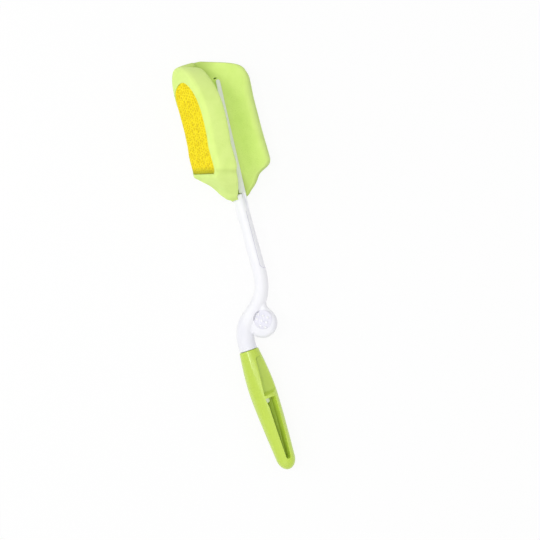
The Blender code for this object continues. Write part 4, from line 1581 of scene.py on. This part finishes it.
@dataclass
class SpongeClip(Maker):
    """The strip let into the shank's side, which runs up through the fold as the prong."""

    thickness: float = 0.0034
    edge: float = 0.0008
    strip_end_y: float = -0.0525
    strip_end_x: float = 0.0019
    strip_top_x: float = 0.0029
    strip_end_round: float = 0.0032
    step_y: float = -0.006
    step_x: float = 0.0055
    step_length: float = 0.0030
    step_reach: float = 0.94
    shoulder: float = 0.0012
    lean: float = math.radians(2.66)
    root_width: float = 0.0050
    tip_width: float = 0.0032
    tip_y: float = 0.100
    # The width and reach of the painted shade beside the groove round the strip.
    groove: float = 0.0004
    groove_reach: float = 0.0016
    finish: MouldedFinish = MouldedFinish(
        "white_clip", colour=from_screen(246, 246, 250), shade_colour=from_screen(228, 229, 240),
        roughness=0.34)

    def build(self) -> None:
        """Makes the clip."""
        self.bench.hand_over(self.piece(), self.finish.material(), Body.BRUSH, ["sponge_clip"],
                             "white_plastic")

    def tip_x(self) -> float:
        """Where the middle of the prong's tip lies."""
        rise = self.tip_y - 0.5 * self.tip_width - self.step_y
        return self.step_x + math.tan(self.lean) * rise - 0.5 * self.tip_width

    def inner_x(self, y: float) -> float:
        """The straight inner side of the strip at y."""
        return between(self.strip_end_x, self.strip_top_x,
                       (y - self.strip_end_y) / (self.step_y - self.strip_end_y))

    def beside(self, x: float, y: float) -> float:
        """How far a place lies outside the strip's outline.

        Args:
            x: The place across the shank.
            y: The place along it.

        Returns:
            The distance, which is below 0 inside the outline.
        """
        corner_x = self.strip_end_x + self.strip_end_round
        corner_y = self.strip_end_y + self.strip_end_round
        if y >= corner_y:
            return self.inner_x(y) - x
        if x < corner_x:
            return math.hypot(x - corner_x, y - corner_y) - self.strip_end_round
        return self.strip_end_y - y

    def groove_shade_level(self, place: Vector, fit: float) -> float:
        """How much painted shade a place takes beside the groove round the strip.

        Args:
            place: A place on the rod.
            fit: The groove's width.

        Returns:
            The share of the groove's colour.
        """
        if place.y > self.step_y or place.y < self.strip_end_y - self.groove_reach:
            return 0.0
        away = self.beside(place.x, place.y)
        return max(1.0 - max(away - fit, -away, 0.0) / self.groove, 0.0)

    def prong_outline(self, grow: float) -> list[Point]:
        """The prong's outline: it leans out from the shank and tapers to a round tip.

        Args:
            grow: How much the outline is grown.

        Returns:
            The outline.
        """
        tip_half = 0.5 * self.tip_width
        top = self.layout.shank_top
        right_root = self.step_x + math.tan(self.lean) * (top - self.step_y)
        start = self.step_y - self.step_length
        outline = [(self.inner_x(start) - grow, start - grow),
                   (self.step_reach * self.layout.shank_radius + grow, start - grow),
                   (self.step_x + grow, self.step_y)]
        outline += arc((self.tip_x(), self.tip_y - tip_half), tip_half + grow, 0, 180, 20)
        outline += [(right_root - self.root_width - grow, top + self.shoulder + grow),
                    (self.inner_x(top) - grow, top + self.layout.gap)]
        return outline

    def strip_outline(self, grow: float) -> list[Point]:
        """The strip's outline: a straight inner side and an end that rounds outward.

        Args:
            grow: How much the outline is grown.

        Returns:
            The outline.
        """
        radius, outside = self.strip_end_round, self.layout.outside
        corner = (self.strip_end_x + radius, self.strip_end_y + radius)
        top = self.layout.shank_top + 2.0 * grow
        outline = [(outside, self.strip_end_y - grow)]
        outline += reversed(arc(corner, radius + grow, 180, 270, 14))
        outline += [(self.inner_x(self.layout.shank_top) - grow, top), (outside, top)]
        return outline

    def piece(self) -> Object:
        """The clip in one moulding.

        Returns:
            The clip.
        """
        layout = self.layout
        half = 0.5 * (layout.shank_top - self.strip_end_y + layout.gap)
        blank = self.bench.disc("clip", layout.shank_radius, half, -half)
        blank.matrix_world = self.shank_matrix(layout.shank_top - half)
        strip = self.bar("strip", self.strip_outline(0.0), layout.outside)
        clip = self.bench.combined(blank, strip, "INTERSECT")
        prong = self.bar("prong", self.prong_outline(0.0), 0.5 * self.thickness)
        prong = self.bench.rounded(prong, self.edge, 5)
        clip = self.bench.combined(clip, prong, "UNION")
        clip.name = "sponge_clip_strip"
        return clip


@dataclass
class CrankRod(Maker):
    """The white rod: shank, S-bend, knob on its web, journal and hidden spike."""

    clip: SpongeClip
    head: SpongeHead
    shoulder_length: float = 0.0012
    shoulder_radius: float = 0.0049
    shank_reach: float = 0.012
    bend_start: float = -0.052
    bend_reach_high: float = 0.0385
    bend_reach_low: float = 0.0325
    bend_radius: float = 0.0054
    leg_radius: float = 0.0071
    collar_radius: float = 0.0074
    leg_straight: float = 0.0015
    journal_radius: float = 0.0045
    journal_length: float = 0.0370
    bulkhead: float = 0.0023
    pin_radius: float = 0.0018
    pin_head_radius: float = 0.0030
    pin_head_length: float = 0.0042
    knob_radius: float = 0.0120
    knob_thickness: float = 0.0084
    knob_edge: float = 0.0032
    web_thickness: float = 0.0080
    web_edge: float = 0.0034
    web_top: Point = (-0.0004, -0.068)
    web_waist: Point = (-0.0026, -0.0832)
    web_on_knob: Point = (0.76, 0.62)
    web_under_knob: float = 0.3
    pad_radius: float = 0.0076
    pad_thickness: float = 0.0018
    pad_proud: float = 0.0007
    pad_fit: float = 0.00004
    clip_fit: float = 0.00020
    pad_rim: float = 0.00005
    pad_shift: Point = (0.0027, 0.0024)
    seat_cut: float = 0.0020
    dot_radius: float = 0.0011
    dot_pitch: float = 0.0041
    dot_turn: float = math.radians(-35)
    dot_shift: Point = (-0.0004, -0.0011)
    dot_field: float = 0.0066
    voxel: float = 0.00032
    melt_passes: int = 9
    spike_edge: float = 0.0006
    pin_chamfer: float = 0.0003
    dome_steps: int = 40
    dome_power: int = 4
    dot_facets: tuple[int, int] = (24, 16)
    dot_fade: float = 0.4
    tube_facets: int = 22
    tube_steps: int = 40
    # The pocket colour is the painted shade in the groove round the strip.
    plastic: MouldedFinish = MouldedFinish(
        "white_rod", colour=from_screen(247, 247, 251), shade_colour=from_screen(232, 232, 243),
        roughness=0.36, pocket_shade_colour=from_screen(168, 164, 200))
    # The raised dots take a painted highlight.
    rubber: RubberFinish = RubberFinish(
        "white_thumb_pads", colour=from_screen(238, 237, 247),
        shade_colour=from_screen(222, 222, 236), dot_highlight_colour=from_screen(253, 253, 255))

    def build(self) -> None:
        """Makes the rod and both thumb pads."""
        self.bench.hand_over(self.rod_piece(), self.plastic.material(), Body.BRUSH,
                             ["crank_rod"], "white_plastic", 50.0)
        rubber = self.rubber.material()
        for side, node in ((Side.FRONT, "thumb_pad_front"), (Side.BACK, "thumb_pad_back")):
            self.bench.hand_over(self.pad_piece(side), rubber, Body.BRUSH, [node],
                                 "white_rubber")

    def tube(self, grow: float) -> Object:
        """The bent tube from its shoulder under the sponge to the collar at the grip.

        Args:
            grow: How much its radius is grown.

        Returns:
            The tube.
        """
        layout = self.layout
        up = layout.grip_matrix().col[2].to_3d()
        down = Vector((0.0, -1.0, 0.0))
        top = Vector((0.0, layout.shank_top, layout.rod_height))
        third, end = self.shoulder_length / 3, self.leg_straight / 3
        knots = (
            (top, third, third, self.shoulder_radius, down),
            (top + down * self.shoulder_length, third, self.shank_reach, layout.shank_radius, down),
            (Vector((0.0, self.bend_start, layout.rod_height)), self.shank_reach,
             self.bend_reach_high, self.bend_radius, down),
            (layout.mouth() + up * self.leg_straight, self.bend_reach_low, end, self.leg_radius,
             -up),
            (layout.mouth() + up * layout.gap, end, end, self.collar_radius, -up),
        )
        curve = bpy.data.curves.new("tube", "CURVE")
        curve.dimensions = "3D"
        curve.bevel_depth = 1.0
        curve.bevel_resolution = self.tube_facets
        curve.resolution_u = self.tube_steps
        curve.use_fill_caps = True
        spline = curve.splines.new("BEZIER")
        spline.bezier_points.add(len(knots) - 1)
        spline.radius_interpolation = "EASE"
        for point, (place, before, after, radius, along) in zip(spline.bezier_points, knots):
            point.co = place
            point.handle_left_type = "FREE"
            point.handle_right_type = "FREE"
            point.handle_left = place - along * before
            point.handle_right = place + along * after
            point.radius = radius + grow
        return self.bench.settled(self.bench.place("tube", curve))

    def web(self) -> Object:
        """The web that fills the crook between the bend, the knob and the leg.

        Returns:
            The web.
        """
        layout = self.layout
        centre = layout.knob_matrix().translation
        rise = layout.rod_height - layout.grip_height
        squash = math.hypot(layout.mouth_x, rise) / -layout.mouth_x
        leg, radius = layout.mouth_x + 0.5 * self.leg_radius, self.knob_radius
        outline = [(-layout.shank_radius, self.web_top[1]), self.web_top, self.web_waist,
                   (centre.x + self.web_on_knob[0] * radius,
                    centre.y + self.web_on_knob[1] * radius),
                   (centre.x, centre.y - self.web_under_knob * radius), (leg, centre.y),
                   (leg, 0.5 * (self.web_waist[1] + centre.y))]
        half = 0.5 * self.web_thickness
        web = self.bench.prism("web", [(x * squash, y) for x, y in outline], -half, half)
        web = self.bench.rounded(web, self.web_edge, 8)
        turn = Matrix.Rotation(-math.atan2(rise, -layout.mouth_x), 4, "Y")
        web.matrix_world = (Matrix.Translation((0.0, 0.0, layout.rod_height)) @ turn
                            @ web.matrix_world)
        return web

    def pad_matrix(self, side: Side) -> Matrix:
        """A thumb pad's frame on one of the knob's faces, Z out of the face."""
        turn = Matrix.Rotation(0.0 if side is Side.FRONT else math.pi, 4, "Y")
        return self.layout.knob_matrix() @ Matrix.Translation((*self.pad_shift, 0.0)) @ turn

    def rod_piece(self) -> Object:
        """The rod in one smooth moulding.

        Returns:
            The rod.
        """
        layout = self.layout
        half = 0.5 * self.knob_thickness
        inner = self.knob_radius - self.knob_edge
        profile = [(0.0, half)]
        profile += arc((inner, half - self.knob_edge), self.knob_edge, 90, 0, 12)
        profile += arc((inner, self.knob_edge - half), self.knob_edge, 0, -90, 12)
        knob = self.bench.turned("knob", profile + [(0.0, -half)])
        knob.matrix_world = layout.knob_matrix()
        rod = self.bench.combined(self.tube(0.0), knob, "UNION")
        rod = self.bench.combined(rod, self.web(), "UNION")
        rod = self.bench.melted(rod, self.voxel, self.melt_passes)
        floor = half + self.pad_proud - self.pad_thickness - layout.gap
        seat_radius = self.pad_radius + self.pad_fit
        for side in Side:
            seat = self.bench.disc("seat", seat_radius, half + self.seat_cut, floor)
            seat.matrix_world = self.pad_matrix(side)
            rod = self.bench.combined(rod, seat, "DIFFERENCE")
        clip, fit = self.clip, self.clip_fit
        recess = self.bar("recess", clip.strip_outline(fit), layout.outside)
        rod = self.bench.combined(rod, recess, "DIFFERENCE")
        # Painted shade beside the groove round the strip.
        self.bench.painted(rod, "pocket", lambda place: clip.groove_shade_level(place, fit))
        spike = self.bar("spike", self.head.spike_outline(0.0), 0.5 * clip.thickness)
        spike = self.bench.rounded(spike, self.spike_edge, 3)
        return self.bench.gathered("crank_rod_moulding", [rod, self.journal(), spike])

    def pin_neck(self) -> float:
        """How far from the grip's mouth the snap pin's head starts."""
        return self.journal_length + self.bulkhead + 3.0 * self.layout.gap

    def pin_tip(self) -> float:
        """How far from the grip's mouth the snap pin's head ends."""
        return self.pin_neck() + self.pin_head_length

    def journal(self) -> Object:
        """The journal that the grip turns on, with the snap pin at its end.

        Returns:
            The journal.
        """
        neck, tip = self.pin_neck(), self.pin_tip()
        head, soft = self.pin_head_radius, 0.5 * self.pin_head_radius
        profile = [(0.0, self.leg_straight), (self.journal_radius, self.leg_straight),
                   (self.journal_radius, -self.journal_length),
                   (self.pin_radius, -self.journal_length), (self.pin_radius, -neck),
                   (head, -neck - self.pin_chamfer), (head, soft - tip)]
        profile += arc((head - soft, soft - tip), soft, 0, -90, 8)[1:] + [(0.0, -tip)]
        journal = self.bench.turned("journal", profile)
        journal.matrix_world = self.layout.grip_matrix()
        return journal

    def pad_piece(self, side: Side) -> Object:
        """A soft round pad with raised dots.

        Args:
            side: Which face of the knob it lies in.

        Returns:
            The pad.
        """
        face = 0.5 * self.knob_thickness
        base = face + self.pad_proud - self.pad_thickness
        rise = self.pad_proud + self.pad_rim

        def dome(away: float) -> float:
            """The pad's height at this distance from its middle."""
            fall = (away / self.pad_radius) ** self.dome_power
            return face - self.pad_rim + rise * (1.0 - fall)

        spread = [self.pad_radius * step / self.dome_steps for step in range(self.dome_steps + 1)]
        profile = [(away, dome(away)) for away in spread]
        profile += [(self.pad_radius, base), (0.0, base)]
        pad = self.bench.turned(f"thumb_pad_{side.name.lower()}_rubber", profile)
        reach = int(self.dot_field / self.dot_pitch) + 1
        around, up = self.dot_facets
        builder = bmesh.new()
        for row in range(-reach, reach + 1):
            for column in range(-reach, reach + 1):
                spot = Vector((self.dot_shift[0] + self.dot_pitch * column,
                               self.dot_shift[1] + self.dot_pitch * row))
                if spot.length < self.dot_field:
                    spot.rotate(Matrix.Rotation(self.dot_turn, 2))
                    place = Matrix.Translation((spot.x, spot.y, dome(spot.length)))
                    bmesh.ops.create_uvsphere(builder, u_segments=around, v_segments=up,
                                              radius=self.dot_radius, matrix=place)
        pad = self.bench.combined(pad, self.bench.mesh("dots", builder), "UNION")
        # Painted highlight on the raised dots.
        self.bench.painted(pad, "dot", lambda place: clamped(
            (place.z - dome(math.hypot(place.x, place.y))) / (self.dot_fade * self.dot_radius)))
        pad.matrix_world = self.pad_matrix(side)
        return self.bench.combined(pad, self.tube(self.layout.gap), "DIFFERENCE")


@dataclass
class SpinGrip(Maker):
    """The lime grip: turned body, journal bore, thumb recess and deep slot."""

    rod: CrankRod
    length: float = 0.1000
    mouth_radius: float = 0.0078
    belly_radius: float = 0.0109
    belly_at: float = 0.036
    tail_radius: float = 0.0077
    nose_length: float = 0.0105
    swell_power: float = 0.95
    taper_power: float = 1.35
    mouth_round: float = 0.0006
    slot_turn: float = math.radians(18.0)
    slot_length: float = 0.0515
    slot_top_half: float = 0.0039
    slot_end_half: float = 0.0019
    slot_taper: float = 1.6
    slot_floor: float = -0.0036
    recess_start: float = 0.0064
    recess_top_half: float = 0.0026
    recess_end_half: float = 0.0050
    recess_reach: float = 0.0110
    recess_flare: float = 0.022
    recess_floor: float = 0.0068
    recess_ramp: float = 0.0040
    rib: float = 0.0008
    proud: float = 0.0002
    no_cut: float = 0.0001
    widest_cut: float = 0.985
    near: float = 0.00002
    least_step: float = 0.000008
    least_half: float = 0.00001
    facets: int = 96
    body_rows: int = 130
    floor_steps: int = 14
    wall_steps: int = 8
    round_steps: int = 6
    rim_in_wall: float = 0.45
    foot_in_floor: float = 0.3
    bore_start: float = 0.001
    pin_bay: float = 0.0012
    pin_bay_length: float = 0.0075
    # Painted shade in the recess and down the slot, and painted light, given off as emission, on
    # the slot's right wall and floor.
    pocket_rim: float = 0.05
    pocket_level: float = 0.95
    pocket_power: float = 3.0
    glow_power: float = 4.0
    floor_glow: float = 0.35
    end_glow: float = 0.45
    spill: float = 0.70
    spill_power: float = 1.6
    recess_shade: float = 0.16
    outline_lean: float = math.radians(1.85)
    outline_shift: float = 0.0035
    rim_round: float = 0.00055
    floor_round: float = 0.0009
    # The pocket colour is painted shade, and the glow colour is painted light given off as
    # emission.
    finish: MouldedFinish = MouldedFinish(
        "lime_grip", colour=from_screen(201, 227, 86), shade_colour=from_screen(190, 215, 76),
        roughness=0.26, pocket_shade_colour=from_screen(92, 116, 8), painted_glow_colour=(0.14, 0.16, 0.020),
        coat=0.25)

    def build(self) -> None:
        """Makes the grip."""
        self.bench.hand_over(self.piece(), self.finish.material(), Body.GRIP, ["handle_grip"],
                             "lime_plastic", 60.0)

    @cached_property
    def begin(self) -> float:
        """How far from the mouth the slot starts."""
        return self.rod.journal_length + self.layout.gap + self.rod.bulkhead

    def radius(self, down: float) -> float:
        """The turned body's radius.

        Args:
            down: The distance from the mouth.

        Returns:
            The radius there.
        """
        tail = self.length - self.nose_length
        if down <= self.belly_at:
            swell = math.sin(0.5 * math.pi * down / self.belly_at) ** self.swell_power
            full = between(self.mouth_radius, self.belly_radius, swell)
        elif down <= tail:
            share = (down - self.belly_at) / (tail - self.belly_at)
            full = between(self.belly_radius, self.tail_radius, share ** self.taper_power)
        else:
            share = (down - tail) / self.nose_length
            full = self.tail_radius * math.sqrt(max(1.0 - share * share, 0.0))
        short = max(self.mouth_round - down, 0.0)
        return full - self.mouth_round + math.sqrt(self.mouth_round ** 2 - short ** 2)

    def cut(self, down: float) -> Triple:
        """The recess or slot at a distance from the mouth.

        Args:
            down: The distance from the mouth.

        Returns:
            The cut's left and right sides from its middle line, and its floor's height.
        """
        rib = self.begin - self.rib
        round_at = self.recess_start + self.recess_top_half
        slot_end = self.begin + self.slot_length - self.slot_end_half
        surface = self.radius(down) + self.proud
        if down < self.recess_start or down > slot_end + self.slot_end_half:
            return -self.no_cut, self.no_cut, surface
        if down < round_at:
            half = math.sqrt(self.recess_top_half ** 2 - (round_at - down) ** 2)
            return -half, half, self.recess_floor
        if down < self.begin:
            share = min((down - round_at) / (rib - round_at), 1.0)
            flare = min((down - round_at) / self.recess_flare, 1.0)
            left = between(self.recess_top_half, self.recess_end_half, share)
            right = between(self.recess_top_half, self.recess_reach, flare)
            ramp = clamped((down - rib) / self.recess_ramp + 1.0)
            return -left, right, between(self.recess_floor, surface, smooth(ramp))
        share = min((down - self.begin) / (slot_end - self.begin), 1.0)
        half = between(self.slot_top_half, self.slot_end_half, share ** self.slot_taper)
        if down > slot_end:
            half = math.sqrt(max(self.slot_end_half ** 2 - (down - slot_end) ** 2,
                                 self.least_half ** 2))
        past = down - self.begin
        left = half + self.pin_bay * max(1.0 - past / self.pin_bay_length, 0.0)
        if past < self.rim_round:
            sink = self.rim_round - math.sqrt(self.rim_round ** 2 - past ** 2)
            return -left, half, self.radius(down) - sink
        short = max(self.floor_round - (past - self.rim_round), 0.0)
        rise = self.floor_round - math.sqrt(self.floor_round ** 2 - short ** 2)
        return -left, half, self.slot_floor + rise

    def sunk(self, place: Vector) -> tuple[float, float]:
        """How far a place lies inside the grip's turned body, and how deep in the slot.

        Args:
            place: A place on the grip, in its own frame.

        Returns:
            1 for a place in the recess or slot and 0 for one on the outer surface, and the
            share of the slot's depth, which is below 0 in the recess.
        """
        down = -place.z
        surface = self.radius(clamped(down, 0.0, self.length))
        below = 1.0 - math.hypot(place.x, place.y) / max(surface, self.mouth_round)
        inside = clamped(below / self.pocket_rim)
        if down < self.begin:
            return inside, -1.0
        out = place.x * math.sin(self.slot_turn) - place.y * math.cos(self.slot_turn)
        return inside, clamped((surface - out) / (surface - self.slot_floor))

    def rightness(self, place: Vector) -> float:
        """How far a place stands from the slot's middle line towards its right wall.

        Args:
            place: A place on the grip, in its own frame.

        Returns:
            A share from 0 to 1.
        """
        across = place.x * math.cos(self.slot_turn) + place.y * math.sin(self.slot_turn)
        half = self.cut(-place.z)[1]
        return clamped(across / half) ** self.spill_power

    def pocket(self, place: Vector) -> float:
        """How much painted shade the plastic takes in the recess and down the slot.

        Args:
            place: A place on the grip, in its own frame.

        Returns:
            The share of the pocket's colour.
        """
        inside, depth = self.sunk(place)
        if depth < 0.0:
            return self.recess_shade * inside
        lit = self.spill * self.rightness(place)
        return inside * self.pocket_level * depth ** self.pocket_power * (1.0 - lit)

    def glow(self, place: Vector) -> float:
        """How much painted light, given off as emission, brightens the slot's right wall and floor,
        in place of light through the thin wall.

        Args:
            place: A place on the grip, in its own frame.

        Returns:
            The share of the glow.
        """
        inside, depth = self.sunk(place)
        if depth < 0.0:
            return 0.0
        along = min((-place.z - self.begin) / self.slot_length, 1.0)
        through = max(1.0 - depth ** self.glow_power,
                      self.floor_glow * self.rightness(place))
        return inside * through * between(1.0, self.end_glow, along)

    def rows(self) -> list[float]:
        """The distances from the mouth at which the grip's outline is drawn.

        Returns:
            The distances in order.
        """
        tail = self.length - self.nose_length
        slot_end = self.begin + self.slot_length - self.slot_end_half
        round_at = self.recess_start + self.recess_top_half
        turns = [math.radians(7.5 * step) for step in range(13)]
        rows = [self.mouth_round * (1.0 - math.cos(turn)) for turn in turns[::2]]
        rows += spaced(self.mouth_round, tail, self.body_rows)
        rows += [tail + self.nose_length * math.sin(turn) for turn in turns[:-1]]
        rows.append(self.length - 0.5 * self.near)
        rows += [round_at - self.recess_top_half * math.cos(turn) for turn in turns]
        rows.append(self.recess_start - self.near)
        rows += [self.begin - self.rib - self.recess_ramp * step / 12 for step in range(13)]
        rows.append(self.begin - self.near)
        rows += [self.begin + self.rim_round * math.sin(turn) for turn in turns]
        rows += [self.begin + self.rim_round + self.near
                 + self.floor_round * (1.0 - math.cos(turn)) for turn in turns]
        rows += [slot_end + self.slot_end_half * math.sin(turn) for turn in turns]
        rows.append(slot_end + self.slot_end_half + self.near)
        rows.sort()
        kept = rows[:1]
        for row in rows[1:]:
            if row - kept[-1] > self.least_step:
                kept.append(row)
        return kept

    def ring(self, down: float) -> list[Point]:
        """The grip's closed cross-section.

        Args:
            down: The distance from the mouth.

        Returns:
            Points across the grip and out from its axis.
        """
        radius = self.radius(down)
        left, right, floor = self.cut(down)
        middle = self.outline_shift - math.tan(self.outline_lean) * down
        limit = self.widest_cut * radius
        if floor > 0.0:
            limit = min(limit, math.sqrt(max(radius ** 2 - floor ** 2, self.no_cut ** 2)))
        sides = [clamped(middle + side, -limit, limit) for side in (left, right)]
        tops = [math.sqrt(radius ** 2 - side ** 2) for side in sides]
        walls = [max(top - floor, 0.0) for top in tops]
        rims = [min(self.rim_round, self.rim_in_wall * wall) for wall in walls]
        widest = self.foot_in_floor * (sides[1] - sides[0])
        feet = [min(self.floor_round, self.rim_in_wall * wall, widest) for wall in walls]
        start = math.asin(sides[1] / radius) + rims[1] / radius
        end = 2.0 * math.pi + math.asin(sides[0] / radius) - rims[0] / radius
        outer = [(radius * math.sin(turn), radius * math.cos(turn))
                 for turn in spaced(start, end, self.facets)]
        left_wall = self.wall(outer[-1], sides[0], tops[0], rims[0], feet[0], floor, 1.0)
        right_wall = self.wall(outer[0], sides[1], tops[1], rims[1], feet[1], floor, -1.0)
        foot_left, foot_right = left_wall[-1][0], right_wall[-1][0]
        across = [(x, floor) for x in spaced(foot_left, foot_right, self.floor_steps)[1:-1]]
        inner = left_wall + across + list(reversed(right_wall))
        return outer + [(x, min(z, math.sqrt(max(radius ** 2 - x ** 2, 0.0)))) for x, z in inner]

    def wall(self, rim: Point, side: float, top: float, rim_round: float, foot: float,
             floor: float, inward: float) -> list[Point]:
        """One side of a cut from its rounded rim to its rounded foot.

        Args:
            rim: The outer surface's last point before the rim.
            side: Where the wall stands.
            top: The outer surface's height there.
            rim_round: The rim's radius.
            foot: The foot's radius.
            floor: The floor's height.
            inward: 1 where the cut lies to the right of the wall, or -1.

        Returns:
            The wall's points from its rim down.
        """

        def eased(first: Point, corner: Point, last: Point) -> list[Point]:
            """The round that leaves first, bends at corner and ends at last.

            Args:
                first: Where it starts, which isn't among its points.
                corner: The corner that it rounds.
                last: Where it ends.

            Returns:
                The round's points.
            """
            shares = spaced(0.0, 1.0, self.round_steps)[1:]
            return [tuple(back * back * a + 2.0 * back * share * b + share * share * c
                          for a, b, c in zip(first, corner, last))
                    for back, share in ((1.0 - share, share) for share in shares)]

        upper, lower = (side, top - rim_round), (side, floor + foot)
        straight = [(side, z) for z in spaced(upper[1], lower[1], self.wall_steps)[1:]]
        return (eased(rim, (side, top), upper) + straight
                + eased(lower, (side, floor), (side + inward * foot, floor)))

    def piece(self) -> Object:
        """The grip in one moulding.

        Returns:
            The grip.
        """
        rod, matrix = self.rod, self.layout.grip_matrix()
        across = Vector((math.cos(self.slot_turn), math.sin(self.slot_turn), 0.0))
        out = Vector((math.sin(self.slot_turn), -math.cos(self.slot_turn), 0.0))
        down = Vector((0.0, 0.0, -1.0))
        builder = bmesh.new()
        rings = [[builder.verts.new(matrix @ (across * x + out * z + down * row))
                  for x, z in self.ring(row)] for row in self.rows()]
        self.bench.skin(builder, rings)
        grip = self.bench.mesh("spin_grip", builder)
        gap = self.layout.running_gap
        bore, pin = rod.journal_radius + gap, rod.pin_radius + gap
        start, end = self.bore_start, rod.journal_length + self.layout.gap
        relief, tip = rod.pin_head_radius + self.layout.gap, rod.pin_tip() + self.layout.gap
        profile = [(0.0, start), (bore, start), (bore, -end), (pin, -end), (pin, -self.begin),
                   (relief, -self.begin), (relief, -tip), (0.0, -tip)]
        tool = self.bench.turned("bore", profile)
        tool.matrix_world = matrix
        grip = self.bench.combined(grip, tool, "DIFFERENCE")
        back = matrix.inverted()
        # Painted shade in the recess and slot, and painted light as emission on the slot's wall and
        # floor.
        self.bench.painted(grip, "pocket", lambda place: self.pocket(back @ place))
        self.bench.painted(grip, "glow", lambda place: self.glow(back @ place))
        return grip


@dataclass
class Lamp:
    """One soft lamp, placed by how far it lies right, up and out from the brush."""

    name: str
    right: float
    up: float
    out: float
    size: float
    power: float


@dataclass
class Studio(Maker):
    """The camera over the brush, the floor, the lamps and the sky."""

    tilt: float = math.radians(15.64)
    aim: Point = (0.0082, -0.056)
    distance: float = 1.0
    view_width: float = 0.427
    sensor: float = 36.0
    floor_size: float = 6.0
    floor_drop: float = 0.0002
    sky: float = 0.53
    floor: FloorFinish = FloorFinish("pale_floor")
    lamps: tuple[Lamp, ...] = (
        Lamp("overhead", 0.02, 0.0, 1.30, 0.80, 3.0),
        Lamp("key", -0.50, 0.10, 1.15, 0.32, 2.2),
        Lamp("right", 0.70, 0.05, 0.75, 0.60, 0.9),
        Lamp("left", -0.75, 0.15, 0.45, 0.50, 1.2),
        Lamp("low", -0.10, -0.80, 0.60, 0.80, 0.9),
    )

    def build(self) -> None:
        """Sets up the view and the light."""
        right = Vector((math.cos(self.tilt), -math.sin(self.tilt), 0.0))
        up = Vector((math.sin(self.tilt), math.cos(self.tilt), 0.0))
        out = Vector((0.0, 0.0, 1.0))
        aim = Vector((*self.aim, 0.0)) + Vector((self.bench.step.x, self.bench.step.y, 0.0))
        data = bpy.data.cameras.new("camera")
        data.sensor_width = self.sensor
        data.lens = self.sensor * (self.distance - self.layout.rod_height) / self.view_width
        camera = self.bench.place("camera", data)
        camera.matrix_world = (Matrix.Translation(aim + out * self.distance)
                               @ Matrix((right, up, out)).transposed().to_4x4())
        bpy.context.scene.camera = camera
        for lamp in self.lamps:
            self.light(lamp, aim, aim + right * lamp.right + up * lamp.up + out * lamp.out)
        self.ground()
        world = bpy.data.worlds.new("sky")
        world.use_nodes = True
        sky = world.node_tree.nodes["Background"].inputs
        sky["Color"].default_value = (1.0, 1.0, 1.0, 1.0)
        sky["Strength"].default_value = self.sky
        bpy.context.scene.world = world
        bpy.context.scene.view_settings.view_transform = "Standard"

    def light(self, lamp: Lamp, aim: Vector, place: Vector) -> None:
        """Hangs a lamp and turns it to the brush.

        Args:
            lamp: Its sizes.
            aim: What it shines at.
            place: Where it hangs.
        """
        data = bpy.data.lights.new(lamp.name, "AREA")
        data.shape = "DISK"
        data.size = lamp.size
        data.energy = lamp.power
        made = self.bench.place(lamp.name, data)
        made.matrix_world = (Matrix.Translation(place)
                             @ (aim - place).to_track_quat("-Z", "Y").to_matrix().to_4x4())

    def ground(self) -> None:
        """Lays the floor."""
        half = 0.5 * self.floor_size
        builder = bmesh.new()
        corners = [(-half, -half), (half, -half), (half, half), (-half, half)]
        builder.faces.new([builder.verts.new((x, y, -self.floor_drop)) for x, y in corners])
        floor = self.bench.mesh("floor", builder)
        floor.data.materials.append(self.floor.material())


def main() -> None:
    """Builds every piece over the CAD."""
    logging.basicConfig(level=logging.INFO, format="%(name)s: %(message)s")
    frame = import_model()
    layout = Layout()
    bench = Bench(frame, layout)
    Studio(bench, layout).build()
    clip = SpongeClip(bench, layout)
    head = SpongeHead(bench, layout, clip, FoamSheet(layout))
    rod = CrankRod(bench, layout, clip, head)
    clip.build()
    rod.build()
    SpinGrip(bench, layout, rod).build()
    head.build()


if __name__ == "__main__":
    main()
